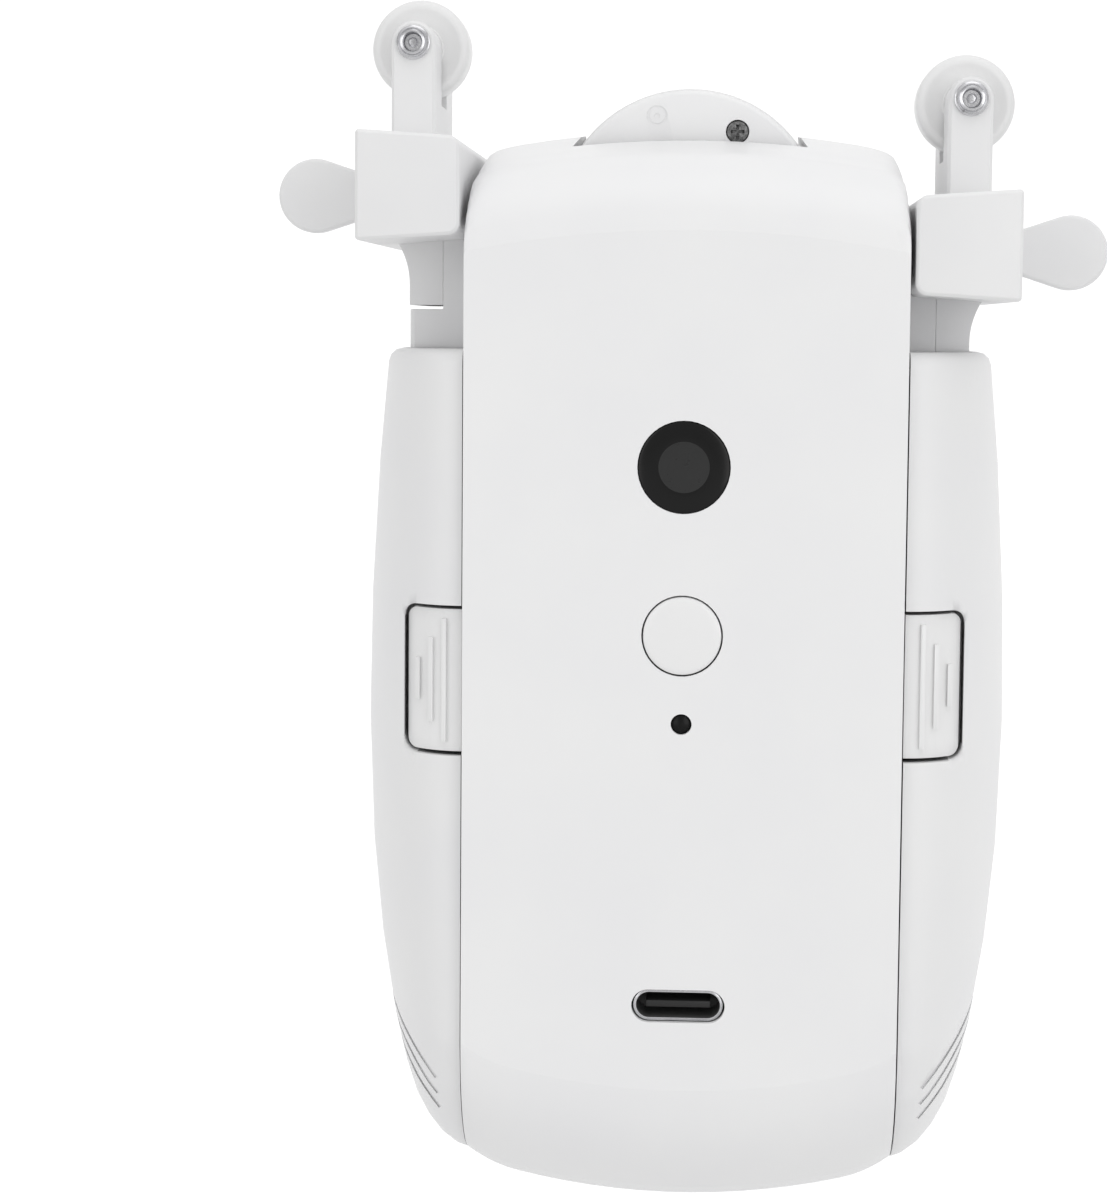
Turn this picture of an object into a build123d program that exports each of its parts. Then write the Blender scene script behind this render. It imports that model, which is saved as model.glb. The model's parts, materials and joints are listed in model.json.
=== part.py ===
"""A curtain motor that hangs from a rail on two roller arms and drives itself along with a wheel.

Millimetres. X runs along the rail to the right, Y runs from the front face to the back, and Z points up at the rail.
The origin is the crown of the drive wheel, where it meets the underside of the rail, at mid depth.
"""
from build123d import *
from math import acos, atan2, cos, degrees, hypot, pi, radians, sin, sqrt, tan
import os

os.makedirs("parts", exist_ok=True)

# Housing, seen from the front it is a tall slab with a crowned top and a rounder bottom.
housing_width = 43.2
housing_depth = 52.0
housing_height = 109.4
wheel_proud = 4.4
top_crown_radius = 110.0
bottom_crown_radius = 72.0
depth_crown_radius = 65.0
top_front_round = 8.0
bottom_front_round = 14.0
top_corner_radius = 5.5
bottom_corner_radius = 13.0
bottom_corner_reach = 5.6
crisp_top_corner = 1.0
side_wall = 2.0
bottom_wall = 3.0
hollow_bottom_corner = 9.0
top_wall = 4.0
side_trim = 0.01
edge_steps = 6

# Drive wheel and the well that it turns in.
wheel_radius = 13.65
wheel_width = 19.2
plate_thickness = 1.6
plate_inset = 0.25
core_radius = 11.4
well_gap = 0.45
well_side_gap = 1.9
well_wall = 1.3
tyre_groove_count = 30
tyre_groove_width = 0.8
tyre_groove_depth = 0.35
plate_screw_circle = 10.4
plate_screw_angle = 62.5
plate_screw_count = 4
plate_mark_circle = 11.3
plate_mark_radius = 1.05
plate_mark_depth = 0.12
axle_radius = 2.0
bush_radius = 3.5
bush_length = 1.5

# Gear train from the motor to the wheel's axle.
gear_module = 0.5
axle_gear_teeth = 20
idler_teeth = 42
pinion_teeth = 16
gear_width = 3.0
gear_gap = 0.6
pressure_angle = 20.0
tooth_backlash = 0.05
idler_side_shift = 6.5
idler_pin_radius = 1.5
motor_radius = 10.0
motor_board_gap = 1.1
motor_edge = 1.0
gearbox_length = 10.5
motor_shaft_radius = 1.5
motor_shaft_depth = 5.0
bracket_thickness = 0.8
bracket_width = 30.0
bracket_height = 11.4
motor_screw_spacing = 25.2

# Front face.
window_drop = 37.87
window_radius = 4.5
window_lens_radius = 2.5
window_thickness = 1.35
window_shelf_radius = 3.4
button_drop = 54.38
button_hole_radius = 4.0
button_ring_gap = 0.15
button_flange_radius = 5.0
button_flange_thickness = 0.8
button_travel = 0.4
lamp_drop = 63.1
lamp_hole_radius = 1.03
port_drop = 91.25
port_slot_width = 9.25
port_slot_height = 3.3
port_shell_width = 8.94
port_shell_height = 3.16
port_shell_wall = 0.3
port_recess = 0.6
port_tongue_width = 6.4
port_tongue_thickness = 0.7
port_tongue_recess = 0.5

# Main board.
board_width = 27.0
board_height = 70.0
board_top_drop = 31.0
board_thickness = 1.2
board_standoff = 3.4
board_boss_radius = 2.0
board_screw_inset = 2.5
switch_size = 5.2
switch_body_height = 1.4
switch_plunger_radius = 1.2
chip_height = 1.0
controller_size = 8.0
controller_drop = 76.0
sensor_chip_size = 3.0
lamp_chip_size = 1.6

# Battery.
cell_side_gap = 1.0
cell_foot_gap = 1.4
cell_top_drop = 54.2
cell_gap = 1.2
cell_depth_shift = 3.0
holder_front = 5.0
holder_back = 13.8
holder_rail_width = 4.0
holder_side_gap = 0.3

# Screws.
screw_radius = 1.0
screw_head_radius = 1.9
screw_head_height = 1.3
small_screw_radius = 0.8
small_screw_head_radius = 1.15
small_screw_head_height = 0.7
screw_length = 11.0
housing_screw_wall_offset = 4.0
housing_screw_drop = 49.5
low_screw_offset = 12.0
low_screw_rise = 5.2
housing_pillar_radius = 2.4
rear_pillar_radius = 3.0
rear_pillar_seat = 6.0

# Wings: the side covers that hold the arms. Their outline widens to the middle and then runs in to the bottom.
wing_seam = 0.25
wing_bulge = 11.9
wing_top_drop = 26.6
wing_widest_drop = 65.0
wing_bottom_drop = 109.9
wing_upper_radius = 352.0
wing_front_step = 1.8
wing_bottom_round = 14.0
wing_round_start = 95.9
wing_wall = 1.6
wing_top_round = 1.3
rim_steps = 3
wing_upper_drops = (38.0, 52.0, 65.0)
wing_lower_outline = (
    (78.0, 11.46), (88.0, 10.47), (96.0, 9.14), (101.0, 7.95), (104.0, 7.0),
    (106.0, 6.0), (107.5, 4.9), (108.6, 3.5), (109.4, 1.9), (109.9, 0.7),
)
wing_screw_drops = (36.0, 94.0)
wing_screw_offset = 16.0
wing_boss_radius = 2.2
wing_screw_length = 6.0
wing_rib_offset = 5.0
wing_rib_thickness = 1.2
wing_slot_gap = 0.7
groove_count = 3
groove_first_drop = 100.0
groove_pitch = 1.75
groove_stand = 2.8
groove_width = 0.4
groove_depth = 0.25
groove_angle = 45.0
groove_end_step = 0.12
groove_run = 12.0

# Release latches.
latch_top_drop = 51.85
latch_bottom_drop = 66.85
latch_opening_stand = 6.3
latch_opening_corner = 1.4
latch_gap = 0.4
latch_set_back = 0.6
latch_ridge_stand = 0.4
latch_ridge_width = 0.5
latch_ridge_places = ((2.05, 12.3), (3.45, 8.4), (4.85, 4.2))
latch_flange_set_back = 7.2
latch_flange_thickness = 1.2
latch_flange_lap = 0.9
latch_flange_stand = 6.4
latch_collar_wall = 0.85
latch_corner = 1.0
latch_leg_width = 2.2
latch_leg_height = 4.0
latch_head_width = 4.2
latch_head_thickness = 1.3
latch_head_gap = 0.3
latch_spring_radius = 1.5
latch_spring_wall = 0.4
latch_spring_spread = 5.2

# Arms.
arm_side_gap = 0.8
arm_thickness = 6.2
arm_half_depth = 10.0
slider_length = 58.0
slider_gap = 0.3
slider_corner = 0.5
tongue_thickness = 2.8
tongue_depth_in_block = 3.0
bracket_drop = 11.5
bracket_shoulder_gap = 0.4
bracket_stand = 7.05
flare_radius = 8.0
flare_drop = 9.4
flare_top_drop = 4.0
arm_screw_offset = 6.0
arm_screw_drop = 8.2
arm_screw_length = 4.9
block_side_gap = 0.5
block_width = 10.2
block_inner_height = 9.5
block_outer_height = 10.8
block_front_step = 0.2
block_inner_round = 1.2
block_outer_round = 0.4
block_edge_round = 0.3
left_block_drop = 10.7
right_block_drop = 16.25
rack_pitch = 2.0
rack_tooth_height = 0.5
rack_length = 30.0
lip_thickness = 1.6
rack_slot_width = 2.8
rack_cavity_width = 5.0
rack_cavity_back = -3.7
rack_top_below_shoulder = 25.5
guide_floor = 0.5
guide_wall = 1.2
guide_stand = 5.8
guide_top_drop = 29.0
guide_bottom_drop = 98.0
guide_end_wall = 1.5
guide_ear = 1.5
guide_notch_gap = 0.4
arm_spring_radius = 1.8
arm_spring_wall = 0.4
arm_spring_shift = 3.0
arm_spring_bore_depth = 50.0

# Roller forks.
fork_stand = 6.8
fork_width = 4.5
fork_half_depth = 9.4
fork_pocket_gap = 0.1
fork_pocket_floor = 3.4
fork_foot_gap = 0.3
fork_edge_round = 0.3
roller_rise = 15.2
roller_radius = 5.1
roller_width = 4.6
roller_edge = 0.6
roller_side_gap = 0.4
roller_slot_clearance = 0.8
rivet_radius = 1.2
running_gap = 0.05
rivet_base_radius = 1.75
rivet_base_height = 0.45
rivet_ring_radius = 1.52
rivet_ring_height = 1.0
rivet_bore_radius = 0.97
rivet_bore_depth = 0.9
rivet_pip_radius = 0.5
rivet_pip_height = 0.35

# Thumb screws.
thumb_shank_radius = 1.5
thumb_tip_gap = 0.3
thumb_face_gap = 0.3
thumb_paddle_radius = 3.9
thumb_paddle_stand = 7.4
thumb_neck_half = 1.83
thumb_thickness = 2.2
thumb_edge_round = 0.5
thumb_hub_length = 2.0
nut_radius = 2.3

# Places worked out from the sizes above.
half_width = housing_width / 2
half_depth = housing_depth / 2
crown_z = -wheel_proud
bottom_z = crown_z - housing_height
axle_z = -wheel_radius
well_radius = wheel_radius + well_gap
well_half_width = wheel_width / 2 + well_side_gap
front_wall_back = -half_depth + side_wall
back_wall_front = half_depth - side_wall
board_face = front_wall_back + board_standoff
board_back = board_face + board_thickness
board_mid_z = -board_top_drop - board_height / 2
wing_base = half_width + wing_seam
wing_half_depth = half_depth - wing_front_step
latch_opening_reach = half_width + latch_opening_stand
latch_flange_reach = half_width + latch_flange_stand
latch_flange_front = latch_flange_set_back - wing_half_depth
arm_inner_x = half_width + arm_side_gap
arm_outer_x = arm_inner_x + arm_thickness
bracket_outer_x = half_width + bracket_stand
block_inner_x = half_width + block_side_gap
block_outer_x = block_inner_x + block_width
block_half_depth = half_depth - block_front_step
guide_reach = half_width + guide_stand
fork_centre_x = half_width + fork_stand
thumb_paddle_x = block_outer_x + thumb_paddle_stand
housing_screw_places = (
    (half_width - housing_screw_wall_offset, -housing_screw_drop),
    (low_screw_offset, bottom_z + low_screw_rise),
)
cell_radius = (half_width - side_wall - cell_side_gap - cell_gap / 2) / 2
cell_length = -bottom_z - low_screw_rise - rear_pillar_radius - cell_foot_gap - cell_top_drop
latch_mid_z = -(latch_top_drop + latch_bottom_drop) / 2
gear_start = well_half_width + bush_length + gear_gap
gear_end = gear_start + gear_width
tyre_half_width = wheel_width / 2 - plate_thickness


def box(low, high, mode=Mode.ADD):
    """A block between two opposite corners."""
    with Locations([tuple((a + b) / 2 for a, b in zip(low, high))]):
        Box(*(b - a for a, b in zip(low, high)), mode=mode)


def rod_y(x, z, radius, y_from, y_to, mode=Mode.ADD):
    """A round bar along Y."""
    with Locations((x, (y_from + y_to) / 2, z)):
        Cylinder(radius, y_to - y_from, rotation=(90, 0, 0), mode=mode)


def rod_x(y, z, radius, x_from, x_to, mode=Mode.ADD):
    """A round bar along X."""
    with Locations(((x_from + x_to) / 2, y, z)):
        Cylinder(radius, x_to - x_from, rotation=(0, 90, 0), mode=mode)


def hex_y(x, z, radius, y_from, y_to):
    """A six-sided screw head along Y."""
    with BuildSketch(Plane.XZ.offset(-y_from)) as outline:
        with Locations((x, z)):
            RegularPolygon(radius, 6)
    extrude(outline.sketch, amount=y_from - y_to)


def hex_x(y, z, radius, x_from, x_to):
    """A six-sided screw head along X."""
    with BuildSketch(Plane.YZ.offset(x_from)) as outline:
        with Locations((y, z)):
            RegularPolygon(radius, 6)
    extrude(outline.sketch, amount=x_to - x_from)


def save(piece, name):
    """Labels a finished piece and writes its file."""
    piece.label = name
    export_step(piece, f"parts/{name}.step")


def sag(radius, offset):
    """How far an arc has fallen at an offset from its crown."""
    return radius - sqrt(radius**2 - offset**2)


def edge_fall(y, radius):
    """How far an edge rounding of this radius has fallen at depth y."""
    into = max(0.0, abs(y) - (half_depth - radius))
    return sag(radius, min(into, radius))


def housing_section(y):
    """The housing's outline at depth y: crowned top and bottom, with corners that the side planes cut off below."""
    fallen = edge_fall(y, top_front_round)
    crown = sag(depth_crown_radius, min(abs(y), half_depth - top_front_round))
    top = crown_z - crown - fallen
    bottom = bottom_z + edge_fall(y, bottom_front_round)
    side = half_width + side_trim
    low_side = side + bottom_corner_reach
    top_side = top - sag(top_crown_radius, side)
    bottom_side = bottom + sag(bottom_crown_radius, low_side)
    top_blend = 1 - fallen / top_front_round
    with BuildSketch(Plane.XZ.offset(-y)) as outline:
        with BuildLine():
            over = ThreePointArc((-side, top_side), (0, top), (side, top_side))
            right = Line(over @ 1, (low_side, bottom_side))
            under = ThreePointArc(right @ 1, (0, bottom), (-low_side, bottom_side))
            Line(under @ 1, over @ 0)
        make_face()
        fillet(
            outline.vertices().group_by(Axis.Y)[-1],
            crisp_top_corner + (top_corner_radius - crisp_top_corner) * top_blend,
        )
        fillet(outline.vertices().group_by(Axis.Y)[0], bottom_corner_radius)
    return outline.sketch


# The outer form: outlines from front to back, closer together in the roundings. Its sides are true planes.
top_edge_start = half_depth - top_front_round
low_edge_start = half_depth - bottom_front_round
rounding_depths = [top_edge_start + top_front_round * sin(pi / 2 * n / edge_steps) for n in range(edge_steps + 1)]
back_depths = [low_edge_start / 2, low_edge_start, (low_edge_start + top_edge_start) / 2] + rounding_depths
section_depths = [-y for y in back_depths[::-1]] + [0.0] + back_depths
with BuildPart() as envelope:
    for depth in section_depths:
        add(housing_section(depth))
    loft(ruled=True)
    Box(housing_width, 2 * housing_depth, 4 * housing_height, mode=Mode.INTERSECT)

# Gear places: the idler hangs beside the well, and the motor's pinion sits below it on the middle line.
axle_to_idler = gear_module * (axle_gear_teeth + idler_teeth) / 2
idler_to_pinion = gear_module * (idler_teeth + pinion_teeth) / 2
idler_x = idler_side_shift
idler_z = axle_z - sqrt(axle_to_idler**2 - idler_x**2)
motor_z = idler_z - sqrt(idler_to_pinion**2 - idler_x**2)
bracket_back = gear_start - gear_gap / 2
bracket_front = bracket_back - bracket_thickness
idler_boss_front = gear_end + gear_gap
idler_pin_end = back_wall_front - side_wall

# Where the screws stand.
board_screws_at = [
    (side_x, end_z)
    for side_x in (board_screw_inset - board_width / 2, board_width / 2 - board_screw_inset)
    for end_z in (-board_top_drop - board_screw_inset, board_screw_inset - board_top_drop - board_height)
]
motor_screws_at = [(-motor_screw_spacing / 2, motor_z), (motor_screw_spacing / 2, motor_z)]
housing_screws_at = [(side * x, z) for side in (-1, 1) for x, z in housing_screw_places]
wing_screws_at = [(y, -z) for y in (-wing_screw_offset, wing_screw_offset) for z in wing_screw_drops]
bush_reach = well_half_width + bush_length

# The hollow inside. The wheel's well, the pillars and the bosses are what it leaves standing.
hollow_half_width = half_width - side_wall
hollow_half_depth = half_depth - side_wall
hollow_top = crown_z - top_wall
hollow_bottom = bottom_z + bottom_wall
hollow_middle = (hollow_top + hollow_bottom) / 2
with BuildPart() as hollow:
    with BuildSketch(Plane.YZ.offset(-hollow_half_width)) as side_view:
        with Locations((0, hollow_middle)):
            Rectangle(2 * hollow_half_depth, hollow_top - hollow_bottom)
        fillet(side_view.vertices().group_by(Axis.Y)[-1], top_front_round - side_wall / 2)
        fillet(side_view.vertices().group_by(Axis.Y)[0], bottom_front_round - side_wall / 2)
    extrude(amount=2 * hollow_half_width)
    with BuildSketch(Plane.XZ.offset(-half_depth)) as front_view:
        with Locations((0, hollow_middle)):
            Rectangle(2 * hollow_half_width, hollow_top - hollow_bottom)
        fillet(front_view.vertices().group_by(Axis.Y)[-1], top_corner_radius - side_wall / 2)
        fillet(front_view.vertices().group_by(Axis.Y)[0], hollow_bottom_corner)
    extrude(amount=housing_depth, mode=Mode.INTERSECT)
    rod_y(0, axle_z, gear_module * (axle_gear_teeth / 2 + 1) + slider_gap, bracket_back, idler_boss_front)
    rod_y(0, axle_z, well_radius + well_wall, -bush_reach, bush_reach, mode=Mode.SUBTRACT)
    for x, z in housing_screws_at:
        rod_y(x, z, housing_pillar_radius, -half_depth, 0, mode=Mode.SUBTRACT)
        rod_y(x, z, rear_pillar_radius, 0, half_depth, mode=Mode.SUBTRACT)
    for x, z in board_screws_at:
        rod_y(x, z, board_boss_radius, -half_depth, board_face, mode=Mode.SUBTRACT)
    for x, z in motor_screws_at:
        rod_y(x, z, board_boss_radius, bracket_back, half_depth, mode=Mode.SUBTRACT)
    rod_y(idler_x, idler_z, 2 * idler_pin_radius, idler_boss_front, half_depth, mode=Mode.SUBTRACT)


def hollow_out():
    """Cuts the hollow, the wheel's well, the bush seats and the wing screws' holes from a half of the housing."""
    add(hollow.part, mode=Mode.SUBTRACT)
    rod_y(0, axle_z, well_radius, -well_half_width, well_half_width, mode=Mode.SUBTRACT)
    rod_y(0, axle_z, bush_radius, -bush_reach, bush_reach, mode=Mode.SUBTRACT)
    for y, z in wing_screws_at:
        rod_x(y, z, screw_radius + running_gap, -half_width, half_width, mode=Mode.SUBTRACT)


with BuildPart() as front_shell:
    add(envelope.part)
    split(bisect_by=Plane.XZ, keep=Keep.TOP)
    hollow_out()
    for x, z in housing_screws_at:
        rod_y(x, z, screw_radius + running_gap, rear_pillar_seat - screw_length - running_gap, 0, mode=Mode.SUBTRACT)
    for x, z in board_screws_at:
        rod_y(x, z, small_screw_radius + running_gap, front_wall_back, board_face, mode=Mode.SUBTRACT)
    rod_y(0, -window_drop, window_shelf_radius, -half_depth, front_wall_back, mode=Mode.SUBTRACT)
    rod_y(
        0, -window_drop, window_radius + running_gap, -half_depth, -half_depth + window_thickness + running_gap,
        mode=Mode.SUBTRACT,
    )
    rod_y(0, -button_drop, button_hole_radius, -half_depth, front_wall_back, mode=Mode.SUBTRACT)
    rod_y(0, -lamp_drop, lamp_hole_radius, -half_depth, front_wall_back, mode=Mode.SUBTRACT)
    with BuildSketch(Plane.XZ.offset(half_depth)):
        with Locations((0, -port_drop)):
            SlotOverall(port_slot_width, port_slot_height)
    extrude(amount=-side_wall, mode=Mode.SUBTRACT)
save(front_shell.part, "front_shell")

with BuildPart() as rear_shell:
    add(envelope.part)
    split(bisect_by=Plane.XZ, keep=Keep.BOTTOM)
    hollow_out()
    for x, z in housing_screws_at:
        rod_y(x, z, screw_radius + running_gap, 0, rear_pillar_seat, mode=Mode.SUBTRACT)
        rod_y(x, z, screw_head_radius + 2 * running_gap, rear_pillar_seat, half_depth, mode=Mode.SUBTRACT)
    for x, z in motor_screws_at:
        rod_y(x, z, small_screw_radius + running_gap, bracket_back, back_wall_front, mode=Mode.SUBTRACT)
    rod_y(idler_x, idler_z, idler_pin_radius, idler_boss_front, idler_pin_end, mode=Mode.SUBTRACT)
save(rear_shell.part, "rear_shell")

with BuildPart() as housing_screws:
    for x, z in housing_screws_at:
        rod_y(x, z, screw_head_radius, rear_pillar_seat, rear_pillar_seat + screw_head_height)
        rod_y(x, z, screw_radius, rear_pillar_seat - screw_length, rear_pillar_seat)
save(housing_screws.part, "housing_screws")

# Front fittings.
window_back = -half_depth + window_thickness + running_gap
with BuildPart() as sensor_window:
    rod_y(0, -window_drop, window_radius, -half_depth + running_gap, window_back)
    rod_y(0, -window_drop, window_lens_radius, -half_depth + running_gap, window_back, mode=Mode.SUBTRACT)
save(sensor_window.part, "sensor_window")

with BuildPart() as sensor_lens:
    rod_y(0, -window_drop, window_lens_radius, -half_depth + 2 * running_gap, window_back)
save(sensor_lens.part, "sensor_lens")

button_flange_front = front_wall_back + slider_gap
button_back = button_flange_front + button_flange_thickness
with BuildPart() as set_button:
    rod_y(0, -button_drop, button_hole_radius - button_ring_gap, -half_depth, button_flange_front)
    rod_y(0, -button_drop, button_flange_radius, button_flange_front, button_back)
save(set_button.part, "set_button")

with BuildPart() as lamp_lens:
    rod_y(0, -lamp_drop, lamp_hole_radius - running_gap, -half_depth + slider_gap, board_face - chip_height)
save(lamp_lens.part, "lamp_lens")

port_front = -half_depth + port_recess
with BuildPart() as port_shell:
    with BuildSketch(Plane.XZ.offset(-port_front)):
        with Locations((0, -port_drop)):
            SlotOverall(port_shell_width, port_shell_height)
    extrude(amount=port_front - board_face)
    with BuildSketch(Plane.XZ.offset(-port_front)):
        with Locations((0, -port_drop)):
            SlotOverall(port_shell_width - 2 * port_shell_wall, port_shell_height - 2 * port_shell_wall)
    extrude(amount=port_front - board_face + port_shell_wall, mode=Mode.SUBTRACT)
save(port_shell.part, "port_shell")

with BuildPart() as port_tongue:
    box(
        (-port_tongue_width / 2, port_front + port_tongue_recess, -port_drop - port_tongue_thickness / 2),
        (port_tongue_width / 2, board_face - port_shell_wall, -port_drop + port_tongue_thickness / 2),
    )
save(port_tongue.part, "port_tongue")

# Board and what stands on it.
with BuildPart() as main_board:
    box(
        (-board_width / 2, board_face, board_mid_z - board_height / 2),
        (board_width / 2, board_back, board_mid_z + board_height / 2),
    )
    for x, z in board_screws_at:
        rod_y(x, z, small_screw_radius + running_gap, board_face, board_back, mode=Mode.SUBTRACT)
save(main_board.part, "main_board")

with BuildPart() as board_screws:
    for x, z in board_screws_at:
        hex_y(x, z, 2 * small_screw_radius, board_back, board_back + small_screw_head_height)
        rod_y(x, z, small_screw_radius, front_wall_back, board_back)
save(board_screws.part, "board_screws")

with BuildPart() as tact_switch:
    box(
        (-switch_size / 2, board_face - switch_body_height, -button_drop - switch_size / 2),
        (switch_size / 2, board_face, -button_drop + switch_size / 2),
    )
    rod_y(0, -button_drop, switch_plunger_radius, button_back + button_travel + running_gap, board_face)
save(tact_switch.part, "tact_switch")

with BuildPart() as board_chips:
    for size, drop in ((sensor_chip_size, window_drop), (lamp_chip_size, lamp_drop), (controller_size, controller_drop)):
        box((-size / 2, board_face - chip_height, -drop - size / 2), (size / 2, board_face, -drop + size / 2))
save(board_chips.part, "board_chips")

# Battery.
cell_x = cell_radius + cell_gap / 2
with BuildPart() as battery_cells:
    with Locations([(side * cell_x, cell_depth_shift, -cell_top_drop - cell_length / 2) for side in (-1, 1)]):
        Cylinder(cell_radius, cell_length)
save(battery_cells.part, "battery_cells")

with BuildPart() as battery_holder:
    holder_half = hollow_half_width - holder_side_gap
    box((-holder_half, holder_front, -cell_top_drop - cell_length), (holder_half, holder_back, -cell_top_drop))
    with Locations([(side * cell_x, cell_depth_shift, -cell_top_drop - cell_length / 2) for side in (-1, 1)]):
        Cylinder(cell_radius + running_gap, cell_length, mode=Mode.SUBTRACT)
    for side in (-1, 1):
        rail_inner = side * cell_x - holder_rail_width / 2
        box(
            (rail_inner, holder_back, hollow_bottom + bottom_front_round),
            (rail_inner + holder_rail_width, back_wall_front, -cell_top_drop - holder_rail_width),
        )
save(battery_holder.part, "battery_holder")

# Motor.
gearbox_front = bracket_front - gearbox_length
with BuildPart() as motor_can:
    rod_y(0, motor_z, motor_radius, board_back + motor_board_gap, gearbox_front)
    chamfer(motor_can.edges().group_by(Axis.Y)[0], motor_edge)
save(motor_can.part, "motor_can")

with BuildPart() as motor_gearbox:
    rod_y(0, motor_z, motor_radius, gearbox_front, bracket_front)
    rod_y(
        0, motor_z, motor_shaft_radius + running_gap, bracket_front - motor_shaft_depth, bracket_front,
        mode=Mode.SUBTRACT,
    )
save(motor_gearbox.part, "motor_gearbox")

with BuildPart() as motor_bracket:
    box(
        (-bracket_width / 2, bracket_front, motor_z - bracket_height / 2),
        (bracket_width / 2, bracket_back, motor_z + bracket_height / 2),
    )
    rod_y(0, motor_z, 2 * motor_shaft_radius, bracket_front, bracket_back, mode=Mode.SUBTRACT)
    for x, z in motor_screws_at:
        rod_y(x, z, small_screw_radius + running_gap, bracket_front, bracket_back, mode=Mode.SUBTRACT)
save(motor_bracket.part, "motor_bracket")

with BuildPart() as motor_screws:
    for x, z in motor_screws_at:
        hex_y(x, z, 2 * small_screw_radius, bracket_front - small_screw_head_height, bracket_front)
        rod_y(x, z, small_screw_radius, bracket_front, bracket_front + screw_length / 2)
save(motor_screws.part, "motor_screws")

with BuildPart() as idler_pin:
    rod_y(idler_x, idler_z, idler_pin_radius, gear_start - gear_gap / 2, idler_pin_end)
save(idler_pin.part, "idler_pin")


def gear_outline(teeth, phase):
    """The points of a spur gear's outline about its own centre, with one tooth standing at the phase, in degrees."""
    pitch_radius = gear_module * teeth / 2
    base_radius = pitch_radius * cos(radians(pressure_angle))
    tip_radius = pitch_radius + gear_module
    root_radius = pitch_radius - 1.25 * gear_module
    half_tooth = pi / (2 * teeth) - tooth_backlash / pitch_radius
    involute_at_pitch = tan(radians(pressure_angle)) - radians(pressure_angle)

    def flank_angle(radius):
        turn = acos(min(1.0, base_radius / radius))
        return half_tooth + involute_at_pitch - (tan(turn) - turn)

    flank_start = max(base_radius, root_radius)
    radii = [flank_start, (flank_start + pitch_radius) / 2, (pitch_radius + tip_radius) / 2, tip_radius]
    points = []
    for tooth in range(teeth):
        middle = radians(phase) + 2 * pi * tooth / teeth
        rising = [(r, middle - flank_angle(r)) for r in radii]
        if root_radius < flank_start:
            rising.insert(0, (root_radius, rising[0][1]))
        falling = [(r, 2 * middle - angle) for r, angle in reversed(rising)]
        points += [(r * cos(angle), r * sin(angle)) for r, angle in rising + falling]
    return points


def gear(teeth, phase, x, z):
    """A spur gear between the gear planes, with its axis along Y at x, z."""
    with BuildSketch(Plane.XZ.offset(-gear_start)) as outline:
        with BuildLine():
            Polyline(*[(x + u, z + v) for u, v in gear_outline(teeth, phase)], close=True)
        make_face()
    extrude(outline.sketch, amount=-gear_width)


# Each gear's teeth stand in the gaps of the one before it, along their line of centres.
to_idler = degrees(atan2(idler_z - axle_z, idler_x))
to_pinion = degrees(atan2(motor_z - idler_z, -idler_x))
idler_phase = to_idler + 180 + 180 / idler_teeth
idler_offset = (to_pinion - idler_phase) % (360 / idler_teeth)
pinion_phase = to_pinion + 180 + idler_offset * idler_teeth / pinion_teeth + 180 / pinion_teeth

with BuildPart() as idler_gear:
    gear(idler_teeth, idler_phase, idler_x, idler_z)
    rod_y(idler_x, idler_z, idler_pin_radius + running_gap, gear_start, gear_end, mode=Mode.SUBTRACT)
save(idler_gear.part, "idler_gear")

with BuildPart() as motor_pinion:
    gear(pinion_teeth, pinion_phase, 0, motor_z)
    rod_y(0, motor_z, motor_shaft_radius, bracket_front - motor_shaft_depth + gear_gap, gear_end)
save(motor_pinion.part, "motor_pinion")

with BuildPart() as axle_gear:
    gear(axle_gear_teeth, to_idler, 0, axle_z)
    rod_y(0, axle_z, axle_radius, gear_start, gear_end, mode=Mode.SUBTRACT)
save(axle_gear.part, "axle_gear")

# Drive wheel.
with BuildPart() as wheel_axle:
    rod_y(0, axle_z, axle_radius, -bush_reach, gear_end)
save(wheel_axle.part, "wheel_axle")

with BuildPart() as axle_bushes:
    for start in (-bush_reach, well_half_width):
        rod_y(0, axle_z, bush_radius, start, start + bush_length)
        rod_y(0, axle_z, axle_radius + running_gap, start, start + bush_length, mode=Mode.SUBTRACT)
save(axle_bushes.part, "axle_bushes")

plate_screws_at = [
    (plate_screw_circle * cos(angle), axle_z + plate_screw_circle * sin(angle))
    for angle in (radians(plate_screw_angle + 360 * n / plate_screw_count) for n in range(plate_screw_count))
]
plate_marks_at = [
    (plate_mark_circle * cos(angle), axle_z + plate_mark_circle * sin(angle))
    for angle in (radians(plate_screw_angle + 360 * (n + 0.5) / plate_screw_count) for n in range(plate_screw_count))
]

with BuildPart() as wheel_core:
    rod_y(0, axle_z, core_radius, -tyre_half_width, tyre_half_width)
    rod_y(0, axle_z, axle_radius, -tyre_half_width, tyre_half_width, mode=Mode.SUBTRACT)
    for x, z in plate_screws_at:
        rod_y(x, z, small_screw_radius, -tyre_half_width, tyre_half_width, mode=Mode.SUBTRACT)
save(wheel_core.part, "wheel_core")

with BuildPart() as wheel_tyre:
    rod_y(0, axle_z, wheel_radius, -tyre_half_width, tyre_half_width)
    rod_y(0, axle_z, core_radius, -tyre_half_width, tyre_half_width, mode=Mode.SUBTRACT)
    groove_turn = 360 / tyre_groove_count
    with Locations(Plane(origin=(0, 0, axle_z), x_dir=(1, 0, 0), z_dir=(0, -1, 0))):
        with PolarLocations(wheel_radius, tyre_groove_count, start_angle=90 + groove_turn / 2):
            Box(2 * tyre_groove_depth, tyre_groove_width, 2 * tyre_half_width, mode=Mode.SUBTRACT)
save(wheel_tyre.part, "wheel_tyre")


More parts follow.
